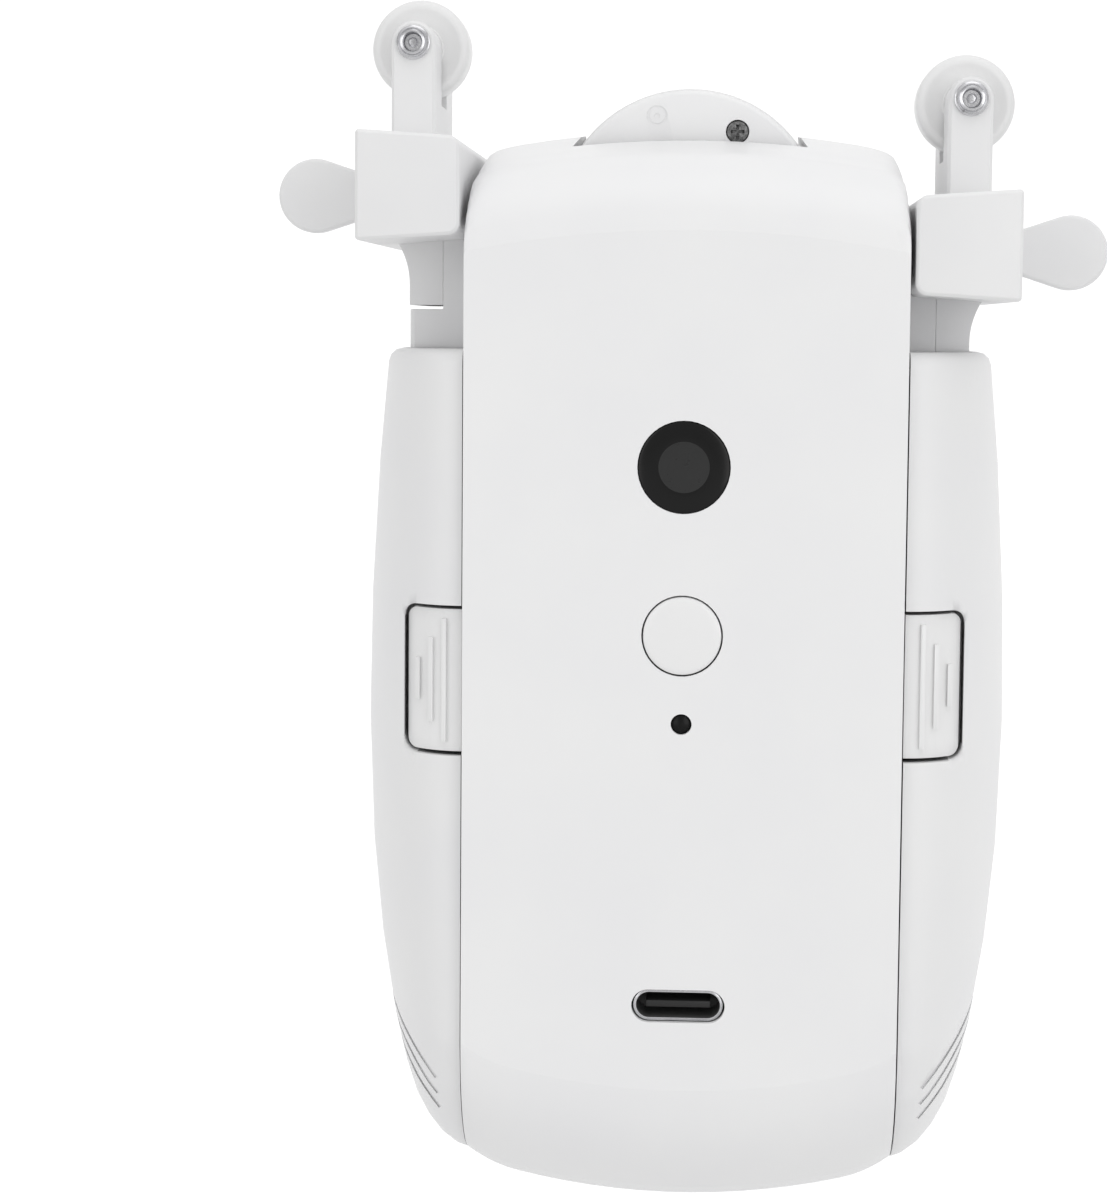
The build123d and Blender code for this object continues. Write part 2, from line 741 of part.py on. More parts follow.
def side_plate(facing):
    """One side plate of the drive wheel. Facing is -1 for the front plate and 1 for the rear one."""
    inner = facing * tyre_half_width
    outer = facing * wheel_width / 2
    with BuildPart() as plate:
        rod_y(0, axle_z, wheel_radius - plate_inset, min(inner, outer), max(inner, outer))
        chamfer(plate.edges().filter_by(GeomType.CIRCLE).sort_by(Axis.Y)[:: -facing][0], plate_inset)
        rod_y(0, axle_z, axle_radius, min(inner, outer), max(inner, outer), mode=Mode.SUBTRACT)
        head_floor = outer - facing * small_screw_head_height
        mark_floor = outer - facing * plate_mark_depth
        for x, z in plate_screws_at:
            rod_y(x, z, small_screw_radius, min(inner, outer), max(inner, outer), mode=Mode.SUBTRACT)
            rod_y(
                x, z, small_screw_head_radius + running_gap, min(head_floor, outer), max(head_floor, outer),
                mode=Mode.SUBTRACT,
            )
        for x, z in plate_marks_at:
            rod_y(x, z, plate_mark_radius, min(mark_floor, outer), max(mark_floor, outer), mode=Mode.SUBTRACT)
    return plate.part


save(side_plate(-1), "wheel_front_plate")
save(side_plate(1), "wheel_rear_plate")

with BuildPart() as wheel_screws:
    head_seat = wheel_width / 2 - small_screw_head_height
    for x, z in plate_screws_at:
        for near, far in ((-wheel_width / 2, -head_seat), (head_seat, wheel_width / 2)):
            rod_y(x, z, small_screw_head_radius, near, far)
        rod_y(x, z, small_screw_radius, -head_seat, -head_seat / 2)
        rod_y(x, z, small_screw_radius, head_seat / 2, head_seat)
save(wheel_screws.part, "wheel_screws")


def wing_reach(z):
    """How far the wing stands out from the middle of the motor at height z."""
    above = z + wing_widest_drop
    if above > 0:
        return half_width + wing_bulge - sag(wing_upper_radius, above)
    corners = ((wing_widest_drop, wing_bulge),) + wing_lower_outline
    for (drop, stand), (next_drop, next_stand) in zip(corners, corners[1:]):
        if -z <= next_drop:
            return half_width + stand + (next_stand - stand) * (-z - drop) / (next_drop - drop)
    return half_width + corners[-1][1]


def wing_depth(z):
    """Half the wing's depth at height z, which shrinks in the rounding at the bottom."""
    into = max(0.0, -wing_round_start - z)
    return wing_half_depth - sag(wing_bottom_round, into)


def wing_form(inset, end_inset=0.0, rim=0.0):
    """The right wing's form, drawn in by the inset, with its ends drawn in too and its top edge rounded by the rim."""
    top = -wing_top_drop - end_inset
    bottom = -wing_bottom_drop + end_inset
    drops = wing_upper_drops + tuple(drop for drop, _ in wing_lower_outline)
    heights = [-drop for drop in drops if bottom < -drop < top - rim] + [bottom]
    sections = [(z, inset) for z in [top - rim] + heights]
    if rim:
        turns = [pi / 2 * n / rim_steps for n in range(rim_steps)]
        sections = [(top - sag(rim, rim * sin(turn)), inset + rim * (1 - sin(turn))) for turn in turns] + sections
    with BuildPart() as form:
        for z, drawn_in in sections:
            across = wing_reach(z) - wing_base - drawn_in
            with BuildSketch(Plane.XY.offset(z)):
                with BuildLine():
                    curve = EllipticalCenterArc((wing_base, 0), across, wing_depth(z) - drawn_in, -90, arc_size=180)
                    Line(curve @ 1, curve @ 0)
                make_face()
        loft(ruled=True)
    return form.part


wing_outside = wing_form(0, rim=wing_top_round)
wing_inside = wing_form(wing_wall, wing_wall)
groove_floor = wing_form(groove_depth, wing_wall)
latch_face_form = wing_form(latch_set_back, wing_wall)
latch_ridge_form = wing_form(latch_set_back - latch_ridge_stand, wing_wall)

# Boss, rib and latch collar stock inside the wing, shaped to its outside.
opening_half = (latch_bottom_drop - latch_top_drop) / 2
slot_reach = arm_outer_x + wing_slot_gap
collar_back = latch_flange_front - slider_gap
with BuildPart() as wing_stock:
    for y, z in wing_screws_at:
        rod_x(y, z, wing_boss_radius, half_width + guide_ear, wing_reach(z))
    for side in (-1, 1):
        rib_y = side * (wing_rib_offset + wing_rib_thickness / 2)
        box(
            (arm_outer_x + slider_gap, rib_y - wing_rib_thickness / 2, -guide_bottom_drop),
            (wing_reach(-wing_widest_drop), rib_y + wing_rib_thickness / 2, -guide_top_drop),
        )
    box(
        (wing_base, -wing_half_depth, latch_mid_z - opening_half - latch_collar_wall),
        (latch_opening_reach + latch_collar_wall, collar_back, latch_mid_z + opening_half + latch_collar_wall),
    )
    add(wing_outside, mode=Mode.INTERSECT)

# The slanting grip grooves: slabs kept only in the skin between the outside and the grooves' floor.
slant = (cos(radians(groove_angle)), 0, sin(radians(groove_angle)))
with BuildPart() as groove_cutter:
    for n in range(groove_count):
        start = (half_width + groove_stand - n * groove_end_step, 0, -groove_first_drop - n * groove_pitch)
        with Locations(Plane(origin=start, x_dir=slant, z_dir=(0, -1, 0))):
            with Locations((groove_run / 2, 0, wing_half_depth / 2)):
                Box(groove_run, groove_width, wing_half_depth)
    add(groove_floor, mode=Mode.SUBTRACT)

with BuildPart() as wing_cover:
    add(wing_outside)
    add(wing_inside, mode=Mode.SUBTRACT)
    add(wing_stock.part)
    for y, z in wing_screws_at:
        rod_x(
            y, z, screw_radius + running_gap, half_width, half_width - side_wall + wing_screw_length + slider_gap,
            mode=Mode.SUBTRACT,
        )
    box(
        (half_width, -arm_half_depth - slider_gap, -wing_top_drop - 2 * wing_wall),
        (slot_reach, arm_half_depth + slider_gap, 0),
        mode=Mode.SUBTRACT,
    )
    with BuildSketch(Plane.XZ.offset(half_depth)) as latch_opening:
        with Locations((wing_base, latch_mid_z)):
            Rectangle(2 * (latch_opening_reach - wing_base), 2 * opening_half)
        fillet(latch_opening.vertices(), latch_opening_corner)
    extrude(amount=-half_depth - collar_back - slider_gap, mode=Mode.SUBTRACT)
    add(groove_cutter.part, mode=Mode.SUBTRACT)


def save_pair(piece, name):
    """Writes the right-hand piece and its mirror image for the left-hand side."""
    save(piece, f"right_{name}")
    save(mirror(piece, about=Plane.YZ), f"left_{name}")


save_pair(wing_cover.part, "wing_cover")

# The screws of both wings come from inside the housing.
with BuildPart() as wing_screws:
    inner_face = half_width - side_wall
    for side in (-1, 1):
        for y, z in wing_screws_at:
            head = sorted((side * (inner_face - screw_head_height), side * inner_face))
            shank = sorted((side * inner_face, side * (inner_face + wing_screw_length)))
            hex_x(y, z, screw_head_radius, *head)
            rod_x(y, z, screw_radius, *shank)
save(wing_screws.part, "wing_screws")

# Guides: open channels against the housing, clamped under the wings' bosses by four ears each.
guide_inside = arm_half_depth + slider_gap
guide_outside = guide_inside + guide_wall
ear_reach = wing_screw_offset + wing_boss_radius
leg_x = (arm_inner_x + arm_outer_x) / 2
notch_half = latch_leg_height / 2 + guide_notch_gap
with BuildPart() as arm_guide:
    box((half_width, -guide_outside, -guide_bottom_drop), (guide_reach, guide_outside, -guide_top_drop))
    for drop in wing_screw_drops:
        box(
            (half_width, -ear_reach, -drop - wing_boss_radius),
            (half_width + guide_ear, ear_reach, -drop + wing_boss_radius),
        )
    box(
        (half_width + guide_floor, -guide_inside, -guide_bottom_drop + guide_end_wall),
        (arm_outer_x, guide_inside, 0),
        mode=Mode.SUBTRACT,
    )
    for y, z in wing_screws_at:
        rod_x(y, z, screw_radius + running_gap, half_width, half_width + guide_ear, mode=Mode.SUBTRACT)
    box(
        (leg_x - latch_head_width / 2 - slider_gap, -guide_outside, latch_mid_z - notch_half),
        (guide_reach, -guide_inside, latch_mid_z + notch_half),
        mode=Mode.SUBTRACT,
    )
save_pair(arm_guide.part, "arm_guide")

# Release latches. The button's face follows the wing, and its leg reaches through the guide into the slider.
lip_back = -arm_half_depth + lip_thickness
rack_back = lip_back + rack_tooth_height
latch_head_front = rack_back + latch_head_gap
latch_head_back = latch_head_front + latch_head_thickness
flange_back = latch_flange_front + latch_flange_thickness
button_half = opening_half - latch_gap
flange_half = opening_half + latch_flange_lap
with BuildPart() as release_latch:
    with BuildSketch(Plane.XZ.offset(half_depth)) as latch_face:
        with Locations((wing_base + latch_gap, latch_mid_z)):
            Rectangle(2 * (latch_opening_reach - wing_base - 2 * latch_gap), 2 * button_half)
        fillet(latch_face.vertices(), latch_corner)
    extrude(amount=-half_depth - latch_flange_front)
    add(latch_face_form, mode=Mode.INTERSECT)
    box(
        (wing_base + slider_gap, latch_flange_front, latch_mid_z - flange_half),
        (latch_flange_reach, flange_back, latch_mid_z + flange_half),
    )
    box(
        (leg_x - latch_leg_width / 2, flange_back, latch_mid_z - latch_leg_height / 2),
        (leg_x + latch_leg_width / 2, latch_head_front, latch_mid_z + latch_leg_height / 2),
    )
    box(
        (leg_x - latch_head_width / 2, latch_head_front, latch_mid_z - latch_leg_height / 2),
        (leg_x + latch_head_width / 2, latch_head_back, latch_mid_z + latch_leg_height / 2),
    )

with BuildPart() as latch_ridges:
    for stand, length in latch_ridge_places:
        ridge_x = half_width + stand
        box(
            (ridge_x - latch_ridge_width / 2, -half_depth, latch_mid_z - length / 2),
            (ridge_x + latch_ridge_width / 2, latch_flange_front, latch_mid_z + length / 2),
        )
    add(latch_ridge_form, mode=Mode.INTERSECT)

with BuildPart() as ridged_latch:
    add(release_latch.part)
    add(latch_ridges.part)
save_pair(ridged_latch.part, "release_latch")

with BuildPart() as latch_springs:
    for z in (latch_mid_z - latch_spring_spread, latch_mid_z + latch_spring_spread):
        rod_y(leg_x, z, latch_spring_radius, flange_back, -guide_outside)
        rod_y(
            leg_x, z, latch_spring_radius - latch_spring_wall, flange_back, -guide_outside, mode=Mode.SUBTRACT
        )
save_pair(latch_springs.part, "latch_springs")


def arm_slider(block_z):
    """The bar that slides in the guide, with the tongue on top and the toothed slot that the latch holds."""
    shoulder = block_z - bracket_drop - bracket_shoulder_gap
    foot = shoulder - slider_length
    tongue_top = block_z - block_inner_height / 2 + tongue_depth_in_block
    slot_top = shoulder - rack_top_below_shoulder
    with BuildPart() as bar:
        box((arm_inner_x, -arm_half_depth, foot), (arm_outer_x, arm_half_depth, shoulder))
        fillet(bar.edges().filter_by(Axis.Z).group_by(Axis.X)[-1], slider_corner)
        box((arm_inner_x, -arm_half_depth, shoulder), (arm_inner_x + tongue_thickness, arm_half_depth, tongue_top))
        for y in (-arm_screw_offset, arm_screw_offset):
            z = block_z - arm_screw_drop
            rod_x(
                y, z, small_screw_head_radius + running_gap, arm_inner_x, arm_inner_x + small_screw_head_height,
                mode=Mode.SUBTRACT,
            )
            rod_x(y, z, small_screw_radius, arm_inner_x, arm_inner_x + tongue_thickness, mode=Mode.SUBTRACT)
        box(
            (leg_x - rack_slot_width / 2, -arm_half_depth, foot),
            (leg_x + rack_slot_width / 2, lip_back, slot_top),
            mode=Mode.SUBTRACT,
        )
        box(
            (leg_x - rack_cavity_width / 2, lip_back, foot),
            (leg_x + rack_cavity_width / 2, rack_cavity_back, slot_top),
            mode=Mode.SUBTRACT,
        )
        with BuildSketch(Plane.YZ.offset(leg_x - rack_cavity_width / 2)):
            with BuildLine():
                teeth = round(rack_length / rack_pitch)
                valleys = [(lip_back, foot + n * rack_pitch) for n in range(teeth + 1)]
                tips = [(rack_back, z + rack_pitch) for _, z in valleys[:-1]]
                points = [point for pair in zip(valleys, tips) for point in pair]
                inside = lip_back - lip_thickness / 2
                Polyline(
                    *points, (inside, foot + teeth * rack_pitch), (inside, foot), close=True
                )
            make_face()
        extrude(amount=rack_cavity_width)
        box(
            (leg_x - rack_slot_width / 2, -arm_half_depth, foot),
            (leg_x + rack_slot_width / 2, rack_back, slot_top),
            mode=Mode.SUBTRACT,
        )
        with Locations((leg_x, arm_spring_shift, foot + arm_spring_bore_depth / 2)):
            Cylinder(arm_spring_radius + slider_gap, arm_spring_bore_depth, mode=Mode.SUBTRACT)
    return bar.part


def arm_spring(block_z):
    """The lift spring in the slider's bore, between the bore's end and the guide's floor."""
    foot = block_z - bracket_drop - bracket_shoulder_gap - slider_length
    low = -guide_bottom_drop + guide_end_wall
    high = foot + arm_spring_bore_depth
    with BuildPart() as spring:
        with Locations((leg_x, arm_spring_shift, (low + high) / 2)):
            Cylinder(arm_spring_radius, high - low)
            Cylinder(arm_spring_radius - arm_spring_wall, high - low, mode=Mode.SUBTRACT)
    return spring.part


fork_inner = fork_centre_x - fork_width / 2
fork_outer = fork_centre_x + fork_width / 2
pocket_outer = fork_outer + fork_pocket_gap


def arm_head(block_z):
    """The deep block with the fork's pocket in its top and the flared bracket under it."""
    tongue_top = block_z - block_inner_height / 2 + tongue_depth_in_block
    tongue_outer = arm_inner_x + tongue_thickness
    with BuildPart() as head:
        with BuildSketch(Plane.XZ.offset(-block_half_depth)) as profile:
            with BuildLine():
                Polyline(
                    (block_inner_x, block_z - block_inner_height / 2),
                    (block_inner_x, block_z + block_inner_height / 2),
                    (block_outer_x, block_z + block_outer_height / 2),
                    (block_outer_x, block_z - block_outer_height / 2),
                    close=True,
                )
            make_face()
            fillet(profile.vertices().group_by(Axis.X)[0], block_inner_round)
            fillet(profile.vertices().group_by(Axis.X)[-1], block_outer_round)
        extrude(amount=2 * block_half_depth)
        chamfer(head.faces().filter_by(Axis.Y).edges(), block_edge_round)
        with BuildSketch(Plane.XZ.offset(-arm_half_depth)):
            with BuildLine():
                rise = flare_drop - flare_top_drop
                flare = ThreePointArc(
                    (bracket_outer_x, block_z - flare_drop),
                    (bracket_outer_x + sag(flare_radius, rise / 2), block_z - flare_drop + rise / 2),
                    (bracket_outer_x + sag(flare_radius, rise), block_z - flare_top_drop),
                )
                Polyline(
                    flare @ 1,
                    (tongue_outer, block_z - flare_top_drop),
                    (tongue_outer, block_z - bracket_drop),
                    (bracket_outer_x, block_z - bracket_drop),
                    flare @ 0,
                )
            make_face()
        extrude(amount=2 * arm_half_depth)
        box(
            (block_inner_x, -arm_half_depth, block_z - block_outer_height),
            (tongue_outer, arm_half_depth, tongue_top),
            mode=Mode.SUBTRACT,
        )
        box(
            (fork_inner - fork_pocket_gap, -fork_half_depth - fork_pocket_gap, block_z - fork_pocket_floor),
            (pocket_outer, fork_half_depth + fork_pocket_gap, block_z + block_outer_height),
            mode=Mode.SUBTRACT,
        )
        rod_x(0, block_z, nut_radius, pocket_outer, block_outer_x, mode=Mode.SUBTRACT)
        for y in (-arm_screw_offset, arm_screw_offset):
            rod_x(
                y, block_z - arm_screw_drop, small_screw_radius,
                tongue_outer, arm_inner_x + small_screw_head_height + arm_screw_length,
                mode=Mode.SUBTRACT,
            )
    return head.part


def arm_screws(block_z):
    """The two screws that hold the slider's tongue to the bracket."""
    seat = arm_inner_x + small_screw_head_height
    with BuildPart() as screws:
        for y in (-arm_screw_offset, arm_screw_offset):
            hex_x(y, block_z - arm_screw_drop, small_screw_head_radius, arm_inner_x, seat)
            rod_x(y, block_z - arm_screw_drop, small_screw_radius, seat, seat + arm_screw_length)
    return screws.part


def clamp_nut(block_z):
    """The threaded insert for the thumb screw, flush in the block's outer wall."""
    with BuildPart() as nut:
        rod_x(0, block_z, nut_radius, pocket_outer, block_outer_x)
        rod_x(0, block_z, thumb_shank_radius + running_gap, pocket_outer, block_outer_x, mode=Mode.SUBTRACT)
    return nut.part


def thumb_screw(block_z):
    """The clamping screw: shank, round hub and flat pear-shaped head."""
    tip = fork_outer + thumb_tip_gap
    shoulder = block_outer_x + thumb_face_gap
    with BuildPart() as screw:
        with BuildSketch(Plane.XZ.offset(-thumb_thickness / 2)):
            with Locations((thumb_paddle_x, block_z)):
                Circle(thumb_paddle_radius)
            with Locations((shoulder + thumb_hub_length / 2, block_z)):
                Rectangle(thumb_hub_length, 2 * thumb_neck_half)
            make_hull()
        extrude(amount=thumb_thickness)
        chamfer(screw.faces().filter_by(Axis.Y).edges(), thumb_edge_round)
        rod_x(0, block_z, thumb_neck_half, shoulder, shoulder + thumb_hub_length)
        rod_x(0, block_z, thumb_shank_radius, tip, shoulder)
    return screw.part


def roller_fork(block_z):
    """The upright with two deep cheeks, round at the top, that stands in the block's pocket."""
    roller_z = block_z + roller_rise
    foot = block_z - fork_pocket_floor + fork_foot_gap
    slot_half = roller_width / 2 + roller_side_gap
    with BuildPart() as fork:
        with BuildSketch(Plane.XZ.offset(-fork_half_depth)):
            with Locations((fork_centre_x, (roller_z + foot) / 2)):
                Rectangle(fork_width, roller_z - foot)
            with Locations((fork_centre_x, roller_z)):
                Circle(fork_width / 2)
        extrude(amount=2 * fork_half_depth)
        chamfer(fork.faces().filter_by(Axis.Y).edges(), fork_edge_round)
        box(
            (fork_inner, -slot_half, roller_z - roller_radius - roller_slot_clearance),
            (fork_outer, slot_half, roller_z + roller_radius),
            mode=Mode.SUBTRACT,
        )
        rod_y(fork_centre_x, roller_z, rivet_radius, -fork_half_depth, fork_half_depth, mode=Mode.SUBTRACT)
    return fork.part


def roller_rivet(block_z):
    """The rivet that carries the roller: a flared hollow end with a pip in front, a plain head behind."""
    roller_z = block_z + roller_rise
    with BuildPart() as rivet:
        face = -fork_half_depth
        rim = face - rivet_ring_height
        floor = rim + rivet_bore_depth
        rod_y(fork_centre_x, roller_z, rivet_radius, face, fork_half_depth)
        rod_y(fork_centre_x, roller_z, rivet_base_radius, face - rivet_base_height, face)
        rod_y(fork_centre_x, roller_z, rivet_base_radius, fork_half_depth, fork_half_depth + rivet_base_height)
        rod_y(fork_centre_x, roller_z, rivet_ring_radius, rim, face)
        rod_y(fork_centre_x, roller_z, rivet_bore_radius, rim, floor, mode=Mode.SUBTRACT)
        rod_y(fork_centre_x, roller_z, rivet_pip_radius, floor - rivet_pip_height, floor)
    return rivet.part


def roller(block_z):
    """The roller that runs in the rail, with rounded edges."""
    roller_z = block_z + roller_rise
    with BuildPart() as wheel:
        rod_y(fork_centre_x, roller_z, roller_radius, -roller_width / 2, roller_width / 2)
        chamfer(wheel.edges().filter_by(GeomType.CIRCLE), roller_edge)
        rod_y(
            fork_centre_x, roller_z, rivet_radius + running_gap, -roller_width / 2, roller_width / 2,
            mode=Mode.SUBTRACT,
        )
    return wheel.part


# Both arms, the left one set higher. They are modelled on the right and mirrored for the left.
arm_pieces = {
    "arm_slider": arm_slider,
    "arm_spring": arm_spring,
    "arm_head": arm_head,
    "arm_screws": arm_screws,
    "clamp_nut": clamp_nut,
    "thumb_screw": thumb_screw,
    "roller_fork": roller_fork,
    "roller_rivet": roller_rivet,
    "roller": roller,
}
for name, make in arm_pieces.items():
    save(make(-right_block_drop), f"right_{name}")
    save(mirror(make(-left_block_drop), about=Plane.YZ), f"left_{name}")
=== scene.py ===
"""Looks of a battery curtain motor: moulded white housing, drive wheel, side wings and two roller arms.

Sizes are in millimetres, in the frame of the CAD model: X along the rail to the right, Y from front to back, Z up.
"""

import json
import logging
from contextlib import contextmanager
from dataclasses import dataclass
from enum import Enum
from math import acos, atan2, cos, degrees, hypot, pi, radians, sin
from typing import ClassVar, Iterator, Sequence

import bpy
from mathutils import Color, Euler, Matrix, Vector

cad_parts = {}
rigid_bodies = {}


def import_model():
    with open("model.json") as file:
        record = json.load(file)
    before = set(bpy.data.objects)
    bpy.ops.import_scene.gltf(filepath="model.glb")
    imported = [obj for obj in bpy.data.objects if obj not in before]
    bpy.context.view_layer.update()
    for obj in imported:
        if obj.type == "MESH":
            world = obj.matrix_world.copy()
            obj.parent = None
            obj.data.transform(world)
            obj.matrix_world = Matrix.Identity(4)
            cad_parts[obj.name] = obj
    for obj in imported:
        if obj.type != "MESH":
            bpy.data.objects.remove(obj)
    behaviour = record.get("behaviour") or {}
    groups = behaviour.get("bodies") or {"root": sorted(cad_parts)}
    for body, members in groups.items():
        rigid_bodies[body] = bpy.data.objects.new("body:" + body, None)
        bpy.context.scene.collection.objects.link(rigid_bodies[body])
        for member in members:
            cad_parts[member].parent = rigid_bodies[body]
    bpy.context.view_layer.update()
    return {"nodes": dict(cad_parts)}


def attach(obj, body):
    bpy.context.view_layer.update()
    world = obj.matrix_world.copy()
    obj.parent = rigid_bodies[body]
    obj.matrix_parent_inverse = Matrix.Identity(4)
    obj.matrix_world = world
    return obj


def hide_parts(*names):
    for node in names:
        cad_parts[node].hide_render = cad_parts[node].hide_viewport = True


for leftover in list(bpy.data.objects):
    bpy.data.objects.remove(leftover)
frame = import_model()

# A millimetre in Blender's units.
MM = 0.001
# Points closer than this, in metres, are one point.
MERGE = 1e-6
# How far a cutter reaches out of what it cuts, in millimetres.
OVERSHOOT = 1.0
# The angles between faces, in degrees, from which an edge counts as sharp and from which a slab's is rounded.
SHARP_ANGLE, SLAB_EDGE_ANGLE = 32.0, 40.0
# The mix node's colour inputs and its colour output.
MIX_FIRST, MIX_SECOND, MIX_RESULT = 6, 7, 2
SHELLS = ("front_shell", "rear_shell")
log = logging.getLogger("curtain_motor")

Point = tuple[float, float]
Triple = tuple[float, float, float]
Piece = bpy.types.Object
Tree = bpy.types.NodeTree
Socket = bpy.types.NodeSocket


class Side(Enum):
    """A side of the motor, with the sign of its X."""

    LEFT = -1
    RIGHT = 1

    @property
    def label(self) -> str:
        """The side's name as the CAD nodes and bodies spell it."""
        return self.name.lower()


class Axle(Enum):
    """The line that a turned piece is spun about, parallel to X or Y."""

    ALONG_X = (1.0, 0.0, 0.0)
    ALONG_Y = (0.0, 1.0, 0.0)

    def place(self, radius: float, along: float, centre: Point) -> Triple:
        """Puts a profile point beside the line.

        Args:
            radius: Distance from the line.
            along: Place along the line.
            centre: The line's other two coordinates, (x, z) for a Y line and (y, z) for an X line.

        Returns:
            The point, in metres.
        """
        if self is Axle.ALONG_Y:
            return ((centre[0] + radius) * MM, along * MM, centre[1] * MM)
        return (along * MM, (centre[0] + radius) * MM, centre[1] * MM)


def linear(code: str) -> tuple[float, float, float, float]:
    """Turns an sRGB colour, six hex digits after a hash, into linear light with an alpha of 1."""
    light = Color([int(code[n : n + 2], 16) / 255 for n in (1, 3, 5)]).from_srgb_to_scene_linear()
    return (light.r, light.g, light.b, 1.0)


def add_node(
    tree: Tree,
    kind: str,
    settings: dict[str, object] | None = None,
    links: dict[str, Socket] | None = None,
) -> bpy.types.Node:
    """Adds a node, sets its values and feeds its inputs.

    Args:
        tree: The node tree that it goes into.
        kind: Blender's name of the node type.
        settings: Values by socket or property name.
        links: Sockets of other nodes by the name of the input that they feed.

    Returns:
        The new node.
    """
    node = tree.nodes.new(kind)
    for name, value in (settings or {}).items():
        if name in node.inputs:
            node.inputs[name].default_value = value
        else:
            setattr(node, name, value)
    for name, socket in (links or {}).items():
        tree.links.new(socket, node.inputs[name])
    return node


@dataclass(frozen=True)
class Term:
    """A number that a node tree works out, for use in formulas."""

    tree: Tree
    socket: Socket

    def then(self, operation: str, *others: "Term | float") -> "Term":
        """Feeds the number into a math node.

        Args:
            operation: Blender's name of the operation.
            others: The operation's other terms.

        Returns:
            What the node gives.
        """
        node = add_node(self.tree, "ShaderNodeMath", {"operation": operation})
        for entry, term in zip(node.inputs, (self, *others)):
            if isinstance(term, Term):
                self.tree.links.new(term.socket, entry)
            else:
                entry.default_value = term
        return Term(self.tree, node.outputs[0])

    def __add__(self, other: "Term | float") -> "Term":
        """Adds the other number."""
        return self.then("ADD", other)

    def __sub__(self, other: "Term | float") -> "Term":
        """Subtracts the other number."""
        return self.then("SUBTRACT", other)

    def __mul__(self, other: "Term | float") -> "Term":
        """Multiplies by the other number."""
        return self.then("MULTIPLY", other)

    def __truediv__(self, other: "Term | float") -> "Term":
        """Divides by the other number."""
        return self.then("DIVIDE", other)

    def __pow__(self, power: float) -> "Term":
        """Raises the number to a power."""
        return self.then("POWER", power)

    def sag(self, radius: float) -> "Term":
        """How far an arc of this radius has fallen where the number is the offset from its crown."""
        return ((self * self) * -1.0 + radius * radius) ** 0.5 * -1.0 + radius

    def ramp(self, start: float, end: float, low: float, high: float, kind: str = "LINEAR") -> "Term":
        """Maps the number's way from start to end onto the way from low to high, and stays between them."""
        spans = {"From Min": start, "From Max": end, "To Min": low, "To Max": high, "interpolation_type": kind}
        return Term(self.tree, add_node(self.tree, "ShaderNodeMapRange", spans, {"Value": self.socket}).outputs[0])


def axes(tree: Tree, place: Socket) -> list[Term]:
    """Splits a place into its X, Y and Z."""
    parts = add_node(tree, "ShaderNodeSeparateXYZ", None, {"Vector": place})
    return [Term(tree, part) for part in parts.outputs]


